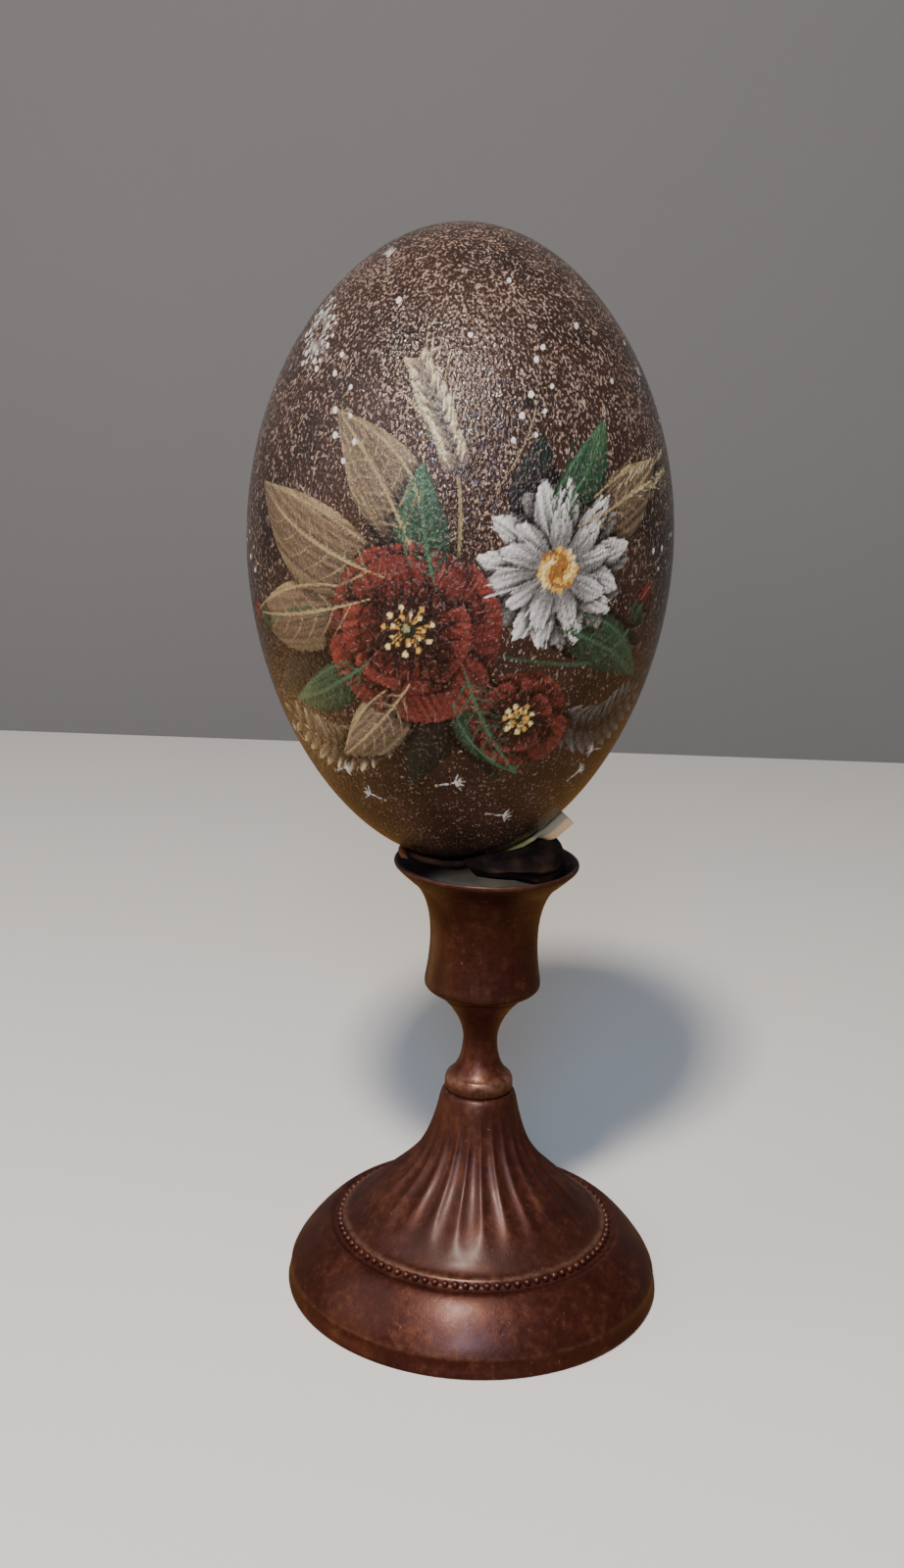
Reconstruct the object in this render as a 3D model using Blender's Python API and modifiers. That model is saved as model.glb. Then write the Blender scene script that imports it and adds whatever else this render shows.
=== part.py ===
"""Painted emu egg resting on a leather pad in the cup of a copper candlestick.

Pieces: the egg, the turned candle cup, the turned stem, the fluted foot with its ring of
beads, the leather pad under the egg and the strip of card that shims it on the right.
Metres, +Z up. The origin is on the surface that the foot stands on, below the middle of the
object's extent: the egg sits to the left in the cup, so the stand's axis is right of it.
"""

import math

import bmesh
import bpy
from mathutils import Matrix, Vector

MM = 0.001
OBJECT_NAME = "painted_emu_egg_on_candlestick"

# Spacing between pieces that touch, and the thinnest step that merges points
GAP = 0.3 * MM
MERGE = 0.01 * MM

# The stand's axis
AXIS_X = 5.1 * MM

# Egg: half length, half width, how far it swells above the middle, tapers to its ends and
# sharpens at its top, and its place
EGG_HALF_LENGTH = 65.9 * MM
EGG_HALF_WIDTH = 44.3 * MM
EGG_SWELL = 0.039
EGG_TAPER = 0.060
EGG_SHARPEN = 0.012
EGG_OFFSET_X = -8.0 * MM
EGG_CENTRE_Z = 168.0 * MM
EGG_LEAN_LEFT = math.radians(0.7)
EGG_LEAN_FORWARD = math.radians(0.7)

# Foot
FOOT_RADIUS = 42.6 * MM
FOOT_WALL = 1.6 * MM
FOOT_TOP = 47.35 * MM
CREST_RADIUS = 30.0 * MM
CREST_HEIGHT = 15.95 * MM
RIB_COUNT = 24
RIB_PHASE = math.radians(5.5)
RIB_DEPTH = 0.8 * MM
RIB_TOP = 44.5 * MM
RIB_FULL_FROM = 36.0 * MM
RIB_FULL_TO = 23.0 * MM
RIB_BOTTOM = 17.5 * MM
BEAD_COUNT = 86
BEAD_RADIUS = 0.95 * MM
BEAD_RING_RADIUS = 31.3 * MM
BEAD_HEIGHT = 14.75 * MM

# Stem
SPIGOT_RADIUS = 3.0 * MM
SPIGOT_LENGTH = 3.0 * MM
STEM_BOTTOM = 47.65 * MM
STEM_TOP = 69.7 * MM

# Candle cup
CUP_BOTTOM = STEM_TOP + GAP
SOCKET_FLOOR = 74.6 * MM
SOCKET_RADIUS = 10.8 * MM
LIP_RADIUS = 20.3 * MM
LIP_HEIGHT = 101.3 * MM

# Pad: a round of leather under the egg, folded into a wad on the right, its left edge
# curled down onto the lip. A roll's thin ends lie higher than its middle by its rise.
PAD_RADIUS = 12.2 * MM
PAD_THICKNESS = 1.7 * MM
PAD_SLACK = 0.1 * MM
PAD_FINENESS = 50
WAD_RING_RADIUS = 12.1 * MM
WAD_HEIGHT = 101.9 * MM
WAD_RADIUS = 5.7 * MM
WAD_RISE = 3.0 * MM
WAD_FROM = math.radians(-114.0)
WAD_TO = math.radians(108.0)
CURL_RING_RADIUS = 18.4 * MM
CURL_HEIGHT = 102.9 * MM
CURL_RADIUS = 1.35 * MM
CURL_FROM = math.radians(157.0)
CURL_TO = math.radians(205.0)

# Strip of card between the egg and the wad
STRIP_WIDTH = 3.9 * MM
STRIP_THICKNESS = 0.7 * MM
STRIP_SLACK = 0.2 * MM
STRIP_FREE_RUN = (0.68, 0.02, 0.73)

# Points over the cup that the strip passes while it lies against the egg
STRIP_ALONG_EGG = [
    (1.4 * MM, -4.6 * MM),
    (4.4 * MM, -4.4 * MM),
    (7.2 * MM, -4.1 * MM),
    (9.8 * MM, -3.8 * MM),
]

# Along the free end: distance run, how far it stands off the egg, and how far it has turned
STRIP_FREE_END = [
    (1.6 * MM, 0.8 * MM, math.radians(-36.0)),
    (3.2 * MM, 1.6 * MM, math.radians(-66.0)),
    (8.2 * MM, 1.8 * MM, math.radians(-72.0)),
]

# Facets around each turned piece
EGG_STEPS = 36
EGG_RINGS = 24
CUP_STEPS = 32
STEM_STEPS = 24
FOOT_STEPS = 2 * RIB_COUNT
PAD_STEPS = 24


def clear_scene():
    """Remove whatever the file opened with."""
    for obj in list(bpy.data.objects):
        bpy.data.objects.remove(obj, do_unlink=True)


def new_collection(name):
    """A collection linked to the scene."""
    collection = bpy.data.collections.new(name)
    bpy.context.scene.collection.children.link(collection)
    return collection


def new_material(name, colour, roughness, metallic):
    """A plain Principled material."""
    material = bpy.data.materials.new(name)
    material.use_nodes = True
    shader = material.node_tree.nodes["Principled BSDF"]
    shader.inputs["Base Color"].default_value = (*colour, 1.0)
    shader.inputs["Roughness"].default_value = roughness
    shader.inputs["Metallic"].default_value = metallic
    return material


def eggshell_material():
    return new_material("painted_shell", (0.060, 0.035, 0.027), 0.42, 0.0)


def copper_material():
    return new_material("patinated_copper", (0.150, 0.046, 0.026), 0.38, 0.85)


def leather_material():
    return new_material("dark_leather", (0.045, 0.020, 0.013), 0.75, 0.0)


def card_material():
    return new_material("cream_card", (0.620, 0.520, 0.300), 0.65, 0.0)


def mm(points):
    """Radius and height pairs written in millimetres, as metres."""
    return [(r * MM, z * MM) for r, z in points]


def cubic(start, pull_start, pull_end, end, steps):
    """Points of a cubic curve from start to end, both ends included."""
    points = []
    for i in range(steps + 1):
        t = i / steps
        s = 1.0 - t
        weights = (s * s * s, 3 * s * s * t, 3 * s * t * t, t * t * t)
        controls = (start, pull_start, pull_end, end)
        points.append(tuple(sum(w * c[k] for w, c in zip(weights, controls)) for k in (0, 1)))
    return points


def grown(profile, distance):
    """The profile moved outward by a distance, with points on the axis kept on it."""
    moved = []
    for i, (r, z) in enumerate(profile):
        before = Vector(profile[max(i - 1, 0)])
        after = Vector(profile[min(i + 1, len(profile) - 1)])
        run = (after - before).normalized()
        outward = Vector((-run.y, run.x)) * distance
        if r < MERGE:
            outward = Vector((0.0, math.copysign(distance, outward.y)))
        moved.append((r + outward.x, z + outward.y))
    return moved


def turned(name, profile, steps, closed=False):
    """A turned shape: the profile, run down its outer side, carried round Z by a Screw modifier."""
    mesh = bpy.data.meshes.new(name)
    edges = [(i, i + 1) for i in range(len(profile) - 1)]
    if closed:
        edges.append((len(profile) - 1, 0))
    mesh.from_pydata([(r, 0.0, z) for r, z in profile], edges, [])
    obj = bpy.data.objects.new(name, mesh)
    screw = obj.modifiers.new("Turn", "SCREW")
    screw.axis = "Z"
    screw.angle = 2.0 * math.pi
    screw.steps = steps
    screw.render_steps = steps
    screw.use_merge_vertices = True
    screw.merge_threshold = MERGE
    return obj


def made_mesh(obj, collection):
    """The object's evaluated shape as a plain mesh object in its place; the old object goes."""
    name = obj.name
    if not obj.users_collection:
        collection.objects.link(obj)
    bpy.context.view_layer.update()
    evaluated = obj.evaluated_get(bpy.context.evaluated_depsgraph_get())
    mesh = bpy.data.meshes.new_from_object(evaluated)
    place = obj.matrix_world.copy()
    bpy.data.objects.remove(obj, do_unlink=True)
    mesh.name = name
    made = bpy.data.objects.new(name, mesh)
    made.matrix_world = place
    collection.objects.link(made)
    return made


def edited(obj, change):
    """Run a function on the object's mesh as a bmesh."""
    bm = bmesh.new()
    bm.from_mesh(obj.data)
    change(bm)
    bm.to_mesh(obj.data)
    bm.free()
    return obj


def smooth(obj, angle=35.0):
    """Shade the mesh smooth, but keep edges sharper than the angle."""
    obj.data.shade_smooth()
    obj.data.set_sharp_from_angle(angle=math.radians(angle))


def finish(obj, material, collection, parent):
    """Give a piece its material, and its place in the collection and under its empty."""
    if obj.name not in collection.objects:
        collection.objects.link(obj)
    obj.data.materials.clear()
    obj.data.materials.append(material)
    obj.parent = parent
    smooth(obj)
    return obj


def boolean(obj, other, operation):
    """Join or cut with another closed mesh."""
    modifier = obj.modifiers.new(operation.title(), "BOOLEAN")
    modifier.operation = operation
    modifier.solver = "EXACT"
    modifier.object = other


def hide_cutter(obj, collection):
    """File a shape that only cuts or joins with the cutters."""
    if obj.name not in collection.objects:
        collection.objects.link(obj)
    obj.hide_render = True
    obj.display_type = "WIRE"
    return obj


def empty(name, collection, location=(0.0, 0.0, 0.0), rotation=(0.0, 0.0, 0.0), parent=None):
    """An empty that other pieces are placed under."""
    obj = bpy.data.objects.new(name, None)
    obj.empty_display_size = 0.02
    obj.location = location
    obj.rotation_euler = rotation
    obj.parent = parent
    collection.objects.link(obj)
    return obj


def egg_radius(along):
    """The egg's radius, from its lower pole at -1 to its upper pole at 1."""
    swell = 1.0 + EGG_SWELL * along - EGG_TAPER * along ** 2 - EGG_SHARPEN * along ** 3
    return EGG_HALF_WIDTH * math.sqrt(max(0.0, 1.0 - along * along)) * swell


def egg_profile(steps):
    """Pole to pole down the egg's side, in even turns of its ellipse."""
    points = []
    for i in range(steps + 1):
        along = math.cos(math.pi * i / steps)
        radius = 0.0 if i in (0, steps) else egg_radius(along)
        points.append((radius, EGG_HALF_LENGTH * along))
    return points


def egg_pose():
    """The egg's place in the stand: off its axis, leaning a little left and forward."""
    place = Matrix.Translation((EGG_OFFSET_X, 0.0, EGG_CENTRE_Z))
    lean = Matrix.Rotation(-EGG_LEAN_LEFT, 4, "Y") @ Matrix.Rotation(EGG_LEAN_FORWARD, 4, "X")
    return place @ lean


def egg_underside(x, y):
    """Height of the egg's lower surface over a point of the cup, by halving along the profile."""
    inverse = egg_pose().inverted()
    low = EGG_CENTRE_Z - EGG_HALF_LENGTH
    high = EGG_CENTRE_Z
    for _ in range(40):
        middle = 0.5 * (low + high)
        point = inverse @ Vector((x, y, middle))
        along = max(-1.0, min(1.0, point.z / EGG_HALF_LENGTH))
        if math.hypot(point.x, point.y) < egg_radius(along):
            high = middle
        else:
            low = middle
    return high


def build_egg(parts, stand):
    """The whole egg is one solid, with the poles on its own axis."""
    egg = made_mesh(turned("egg", egg_profile(EGG_RINGS), EGG_STEPS), parts)
    finish(egg, eggshell_material(), parts, stand)
    egg.matrix_local = egg_pose()
    return egg


def cup_profile():
    """From the socket's floor up its wall and flare, over the lip and down the outside."""
    socket = [(0.0, SOCKET_FLOOR), (9.6 * MM, SOCKET_FLOOR), (SOCKET_RADIUS, SOCKET_FLOOR + 1.2 * MM)]
    flare = cubic(*mm([(10.8, 87.0), (11.2, 92.0), (13.6, 94.9), (15.9, 97.3)]), steps=4)
    lip = mm([(19.0, 100.9), (19.6, LIP_HEIGHT / MM), (LIP_RADIUS / MM, 101.0), (20.1, 100.2)])
    outside = cubic(*mm([(16.7, 97.0), (13.0, 94.4), (10.5, 87.0), (12.87, 73.9)]), steps=7)
    bowl = cubic(*mm([(12.9, 73.0), (13.0, 71.8), (11.4, 71.2), (9.6, 70.3)]), steps=3)
    hole = SPIGOT_RADIUS + GAP
    hole_top = STEM_TOP + SPIGOT_LENGTH + GAP
    bottom = [(9.3 * MM, CUP_BOTTOM), (hole, CUP_BOTTOM), (hole, hole_top), (0.0, hole_top)]
    return socket + flare + lip + outside + bowl + bottom


def build_cup(parts, stand):
    """The flared candle socket, open at the top, with a blind hole for the stem below."""
    cup = made_mesh(turned("candle_cup", cup_profile(), CUP_STEPS), parts)
    return finish(cup, copper_material(), parts, stand)


def stem_profile():
    """From the upper spigot down the waist to the collar and the lower spigot."""
    top = [(0.0, STEM_TOP + SPIGOT_LENGTH), (SPIGOT_RADIUS, STEM_TOP + SPIGOT_LENGTH)]
    seat = [(SPIGOT_RADIUS, STEM_TOP), (8.9 * MM, STEM_TOP)]
    upper = cubic(*mm([(9.0, 69.4), (6.2, 67.0), (3.6, 62.6), (3.85, 59.0)]), steps=5)
    lower = cubic(*mm([(3.85, 59.0), (3.9, 57.0), (4.3, 53.4), (6.6, 51.3)]), steps=4)
    collar = mm([(7.15, 50.8), (7.5, 50.0), (7.75, 48.8), (7.6, STEM_BOTTOM / MM)])
    low = STEM_BOTTOM - SPIGOT_LENGTH - FOOT_WALL
    bottom = [(SPIGOT_RADIUS, STEM_BOTTOM), (SPIGOT_RADIUS, low), (0.0, low)]
    return top + seat + upper + lower[1:] + collar + bottom


def build_stem(parts, stand):
    """The waisted stem with its rounded collar, spigoted into the cup and the foot."""
    stem = made_mesh(turned("stem", stem_profile(), STEM_STEPS), parts)
    return finish(stem, copper_material(), parts, stand)


def foot_profile():
    """Closed section: hole, shoulder, trumpet, crest, bead seat, dome, rest ring and inner side."""
    hole = SPIGOT_RADIUS + GAP
    shoulder = [(hole, FOOT_TOP), (7.5 * MM, FOOT_TOP), (8.4 * MM, 46.6 * MM)]
    trumpet = cubic(*mm([(8.9, 45.0), (12.3, 26.9), (18.5, 28.9), (28.8, 15.5)]), steps=8)
    crest = [
        (CREST_RADIUS - 0.6 * MM, CREST_HEIGHT - 0.2 * MM),
        (CREST_RADIUS, CREST_HEIGHT),
        (CREST_RADIUS + 0.6 * MM, CREST_HEIGHT - 0.4 * MM),
    ]
    seat = mm([(31.2, 14.5), (32.6, 14.2)])
    dome = cubic(*mm([(33.4, 14.8), (35.6, 13.6), (41.3, 6.2), (42.5, 1.1)]), steps=5)
    rest = [(FOOT_RADIUS, 0.5 * MM), (FOOT_RADIUS - 0.3 * MM, 0.0), (FOOT_RADIUS - 3.0 * MM, 0.0)]
    inside = mm([(38.4, 5.0), (33.0, 12.0), (28.5, 13.3), (20.5, 21.0), (11.5, 31.5), (8.0, 41.0)])
    return shoulder + trumpet + crest + seat + dome + rest + inside + [(hole, 43.0 * MM)]


def rib_strength(height):
    """How deep the flutes are at a height: none at the top, full on the slope, fading at the floor."""
    rise = (RIB_TOP - height) / (RIB_TOP - RIB_FULL_FROM)
    fade = (height - RIB_BOTTOM) / (RIB_FULL_TO - RIB_BOTTOM)
    return max(0.0, min(1.0, rise, fade))


def flute_trumpet(bm):
    """Sink the outer slope between the ribs, which stay at the turned surface."""
    bm.normal_update()
    for vertex in bm.verts:
        radius = math.hypot(vertex.co.x, vertex.co.y)
        outside = vertex.normal.x * vertex.co.x + vertex.normal.y * vertex.co.y > 0.0
        if not outside or radius > CREST_RADIUS - 1.0 * MM or vertex.co.z > RIB_TOP:
            continue
        turn = math.atan2(vertex.co.y, vertex.co.x)
        between = math.sin(0.5 * RIB_COUNT * turn) ** 2
        vertex.co -= vertex.normal * RIB_DEPTH * rib_strength(vertex.co.z) * between


def bead_ring(cutters):
    """The string of beads outside the crest, as one mesh of separate closed beads."""
    bm = bmesh.new()
    for i in range(BEAD_COUNT):
        turn = Matrix.Rotation(2.0 * math.pi * i / BEAD_COUNT, 4, "Z")
        place = turn @ Matrix.Translation((BEAD_RING_RADIUS, 0.0, BEAD_HEIGHT))
        bmesh.ops.create_uvsphere(bm, u_segments=4, v_segments=2, radius=BEAD_RADIUS, matrix=place)
    mesh = bpy.data.meshes.new("beads")
    bm.to_mesh(mesh)
    bm.free()
    beads = bpy.data.objects.new("beads", mesh)
    return hide_cutter(beads, cutters)


def build_foot(parts, cutters, stand):
    """The hollow pressed foot: fluted trumpet, raised crest, beads and domed rim."""
    foot = made_mesh(turned("foot", foot_profile(), FOOT_STEPS, closed=True), parts)
    edited(foot, flute_trumpet)
    finish(foot, copper_material(), parts, stand)
    foot.rotation_euler.z = RIB_PHASE
    beads = bead_ring(cutters)
    beads.parent = foot
    boolean(foot, beads, "UNION")
    return foot


def tapered_roll(name, ring_radius, height, rise, thickness, turn_from, turn_to, points):
    """A roll of leather bent round the flare: thickest halfway, its thin ends higher by the rise."""
    curve = bpy.data.curves.new(name, "CURVE")
    curve.dimensions = "3D"
    curve.bevel_depth = thickness
    curve.bevel_resolution = 2
    curve.use_fill_caps = True
    curve.twist_mode = "Z_UP"
    spline = curve.splines.new("POLY")
    spline.points.add(points - 1)
    for i, point in enumerate(spline.points):
        share = i / (points - 1)
        turn = turn_from + (turn_to - turn_from) * share
        fullness = 0.2 + 0.8 * math.sin(math.pi * share) ** 0.7
        lift = rise * (1.0 - fullness)
        point.co = (ring_radius * math.cos(turn), ring_radius * math.sin(turn), height + lift, 1.0)
        point.radius = fullness
    return bpy.data.objects.new(name, curve)


def weld(bm):
    """Join the loose caps of a curve to its tube and turn every face outward."""
    bmesh.ops.remove_doubles(bm, verts=bm.verts, dist=MERGE)
    bmesh.ops.recalc_face_normals(bm, faces=bm.faces)


def welded_roll(curve, cutters, stand):
    """The roll as a closed mesh among the shapes that join or cut."""
    roll = edited(made_mesh(curve, cutters), weld)
    roll.parent = stand
    return hide_cutter(roll, cutters)


def wad_roll(cutters, stand):
    """The wad that fills the flare on the right, front to back."""
    curve = tapered_roll(
        "wad", WAD_RING_RADIUS, WAD_HEIGHT, WAD_RISE, WAD_RADIUS, WAD_FROM, WAD_TO, points=14
    )
    return welded_roll(curve, cutters, stand)


def curl_roll(cutters, stand):
    """The curl of the left edge that lies on the lip."""
    curve = tapered_roll(
        "curl", CURL_RING_RADIUS, CURL_HEIGHT, 0.0, CURL_RADIUS, CURL_FROM, CURL_TO, points=5
    )
    return welded_roll(curve, cutters, stand)


def egg_outward(x, y):
    """Direction out of the egg's lower surface over a point of the cup, from its slopes there."""
    step = 0.2 * MM
    slope_x = (egg_underside(x + step, y) - egg_underside(x - step, y)) / (2.0 * step)
    slope_y = (egg_underside(x, y + step) - egg_underside(x, y - step)) / (2.0 * step)
    return Vector((slope_x, slope_y, -1.0)).normalized()


def strip_route():
    """Middle, run and face direction at points of the strip: along the egg, then straight out."""
    clear = GAP + 0.5 * STRIP_THICKNESS + STRIP_SLACK
    places = []
    faces = []
    for x, y in STRIP_ALONG_EGG:
        outward = egg_outward(x, y)
        places.append(Vector((x, y, egg_underside(x, y))) + outward * clear)
        faces.append(outward)
    leaves_egg = places[-1]
    outward = faces[-1]
    free_run = Vector(STRIP_FREE_RUN).normalized()
    for length, stand_off, turn in STRIP_FREE_END:
        places.append(leaves_egg + free_run * length + outward * stand_off)
        faces.append(Matrix.Rotation(turn, 3, free_run) @ outward)
    route = []
    for i, place in enumerate(places):
        run = (places[min(i + 1, len(places) - 1)] - places[max(i - 1, 0)]).normalized()
        route.append((place, run, faces[i]))
    return route


def strip_mesh(name, extra, collection):
    """The strip's solid, longer, thicker and wider by a spare distance all round."""
    route = strip_route()
    half_wide = 0.5 * STRIP_WIDTH + extra
    half_thick = 0.5 * STRIP_THICKNESS + extra
    bm = bmesh.new()
    rings = []
    for i, (place, run, outward) in enumerate(route):
        across = run.cross(outward).normalized()
        face = across.cross(run).normalized()
        reach = {0: -extra, len(route) - 1: extra}.get(i, 0.0)
        ring = []
        for a, b in ((1, 1), (-1, 1), (-1, -1), (1, -1)):
            corner = place + run * reach + across * half_wide * a + face * half_thick * b
            ring.append(bm.verts.new(corner))
        rings.append(ring)
    for ring, following in zip(rings, rings[1:]):
        for k in range(4):
            bm.faces.new((ring[k], ring[(k + 1) % 4], following[(k + 1) % 4], following[k]))
    bm.faces.new(rings[0])
    bm.faces.new(rings[-1])
    bmesh.ops.recalc_face_normals(bm, faces=bm.faces)
    mesh = bpy.data.meshes.new(name)
    bm.to_mesh(mesh)
    bm.free()
    obj = bpy.data.objects.new(name, mesh)
    collection.objects.link(obj)
    return obj


def build_strip(parts, stand):
    """The cream strip of card pushed between the egg and the wad."""
    strip = strip_mesh("shim_strip", 0.0, parts)
    return finish(strip, card_material(), parts, stand)


def pad_profile():
    """The round of leather: its upper side follows the egg, its edge is rounded."""
    clear = grown(egg_profile(PAD_FINENESS), GAP + PAD_SLACK)
    upper = [p for p in reversed(clear) if p[0] < PAD_RADIUS and p[1] < 0.0]
    edge_r, edge_z = upper[-1]
    edge = [(edge_r + 0.5 * MM, edge_z - 0.5 * PAD_THICKNESS)]
    lower = [(r, z - PAD_THICKNESS) for r, z in reversed(upper)]
    return upper + edge + lower


def build_pad(parts, cutters, stand):
    """The leather under the egg: a dished round, joined to the wad and cut clear of its neighbours."""
    pad = made_mesh(turned("pad", pad_profile(), PAD_STEPS), parts)
    finish(pad, leather_material(), parts, stand)
    pad.matrix_local = egg_pose()
    boolean(pad, wad_roll(cutters, stand), "UNION")
    boolean(pad, curl_roll(cutters, stand), "UNION")
    egg_space = made_mesh(turned("egg_space", grown(egg_profile(EGG_RINGS), GAP), EGG_STEPS), cutters)
    egg_space.parent = stand
    egg_space.matrix_local = egg_pose()
    cup_space = made_mesh(turned("cup_space", grown(cup_profile(), GAP), CUP_STEPS), cutters)
    cup_space.parent = stand
    strip_space = strip_mesh("strip_space", GAP, cutters)
    strip_space.parent = stand
    for space in (egg_space, cup_space, strip_space):
        hide_cutter(space, cutters)
        boolean(pad, space, "DIFFERENCE")
    return pad


def main():
    """Build every piece in its place."""
    clear_scene()
    parts = new_collection(OBJECT_NAME)
    cutters = new_collection("cutters")
    stand = empty("stand_axis", parts, location=(AXIS_X, 0.0, 0.0))
    build_foot(parts, cutters, stand)
    build_stem(parts, stand)
    build_cup(parts, stand)
    build_strip(parts, stand)
    build_pad(parts, cutters, stand)
    build_egg(parts, stand)
    bpy.context.view_layer.update()


main()
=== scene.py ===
"""Looks of the painted emu egg on its copper candlestick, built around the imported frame.

The frame's solids stay where they are and stand for collision. Each one is replaced here by
a finer piece of the same sizes: the egg with its grained shell and painted flower spray, the
turned cup and stem, the fluted foot with its beads, the leather pad and the card strip.
"""

import logging
import math
from collections.abc import Callable, Iterable, Sequence
from dataclasses import dataclass, field
from enum import Enum

import bmesh
import bpy
import numpy as np
from mathutils import Matrix, Vector


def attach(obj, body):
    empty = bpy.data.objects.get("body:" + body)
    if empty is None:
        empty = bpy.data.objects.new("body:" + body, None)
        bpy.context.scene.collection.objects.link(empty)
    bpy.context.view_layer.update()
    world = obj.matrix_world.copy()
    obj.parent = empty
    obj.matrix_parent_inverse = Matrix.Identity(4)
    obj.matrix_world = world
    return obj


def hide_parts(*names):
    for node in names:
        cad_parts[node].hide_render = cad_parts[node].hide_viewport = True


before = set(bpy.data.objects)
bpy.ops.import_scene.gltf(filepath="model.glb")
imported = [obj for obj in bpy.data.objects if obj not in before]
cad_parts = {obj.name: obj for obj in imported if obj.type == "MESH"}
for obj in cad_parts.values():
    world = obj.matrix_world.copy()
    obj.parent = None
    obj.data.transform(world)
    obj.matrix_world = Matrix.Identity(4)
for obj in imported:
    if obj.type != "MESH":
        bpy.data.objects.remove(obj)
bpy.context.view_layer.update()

LOG = logging.getLogger("painted_egg")
BODY = "root"

MM = 0.001
PER_METRE = 1000.0

# Steps that merge points and that close the egg's seam
MERGE = 0.01 * MM
SEAM = 0.001 * MM

# Where the stand's axis crosses X, in millimetres
AXIS = 5.1

# The turn from one seed of a flower head to the next, in degrees
SEED_TURN = 137.5

Colour = tuple[float, float, float]
Spot = tuple[float, float]
Profile = list[Spot]


class Slot(Enum):
    """Names of the material slots."""

    SHELL = "painted_shell"
    COPPER = "patinated_copper"
    LEATHER = "dark_leather"
    CARD = "cream_card"


class Tint(Enum):
    """Paints of the flower spray, as linear red, green and blue."""

    MAROON_DEEP = (0.020, 0.0032, 0.0030)
    MAROON = (0.066, 0.0075, 0.0058)
    BRICK = (0.122, 0.0185, 0.0130)
    BLUSH = (0.250, 0.105, 0.085)
    GREEN_DEEP = (0.007, 0.016, 0.010)
    GREEN = (0.016, 0.044, 0.022)
    GREEN_LIT = (0.042, 0.094, 0.046)
    TAN_DEEP = (0.040, 0.024, 0.014)
    TAN = (0.116, 0.076, 0.046)
    HAY = (0.270, 0.205, 0.100)
    CREAM = (0.500, 0.420, 0.250)
    OLIVE = (0.250, 0.210, 0.080)
    GREY_DEEP = (0.056, 0.052, 0.048)
    GREY = (0.180, 0.170, 0.160)
    WHITE = (0.600, 0.585, 0.550)
    GOLD_DEEP = (0.250, 0.095, 0.016)
    GOLD = (0.520, 0.290, 0.055)
    STRAW = (0.680, 0.520, 0.220)
    INK = (0.010, 0.0075, 0.0065)


class Sock:
    """A node's output that takes part in Python arithmetic."""

    def __init__(self, graph: "Graph", socket: bpy.types.NodeSocket) -> None:
        """Keep the socket with the graph that it belongs to."""
        self.graph = graph
        self.socket = socket

    def __add__(self, other: "Value") -> "Sock":
        """Sum."""
        return self.graph.math("ADD", self, other)

    def __sub__(self, other: "Value") -> "Sock":
        """Difference."""
        return self.graph.math("SUBTRACT", self, other)

    def __rsub__(self, other: "Value") -> "Sock":
        """Difference from a number."""
        return self.graph.math("SUBTRACT", other, self)

    def __mul__(self, other: "Value") -> "Sock":
        """Product."""
        return self.graph.math("MULTIPLY", self, other)

    def __truediv__(self, other: "Value") -> "Sock":
        """Quotient."""
        return self.graph.math("DIVIDE", self, other)

    def __pow__(self, other: "Value") -> "Sock":
        """Power."""
        return self.graph.math("POWER", self, other)

    __radd__ = __add__
    __rmul__ = __mul__

    def above(self, low: float, high: float) -> "Sock":
        """A soft step from 0 at low to 1 at high."""
        settings = {"interpolation_type": "SMOOTHSTEP"}
        return self.graph.add("ShaderNodeMapRange", settings, {0: self, 1: low, 2: high})

    def clamped(self) -> "Sock":
        """The value held between 0 and 1."""
        settings = {"operation": "ADD", "use_clamp": True}
        return self.graph.add("ShaderNodeMath", settings, {0: self, 1: 0.0})


Value = Sock | float | int


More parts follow.
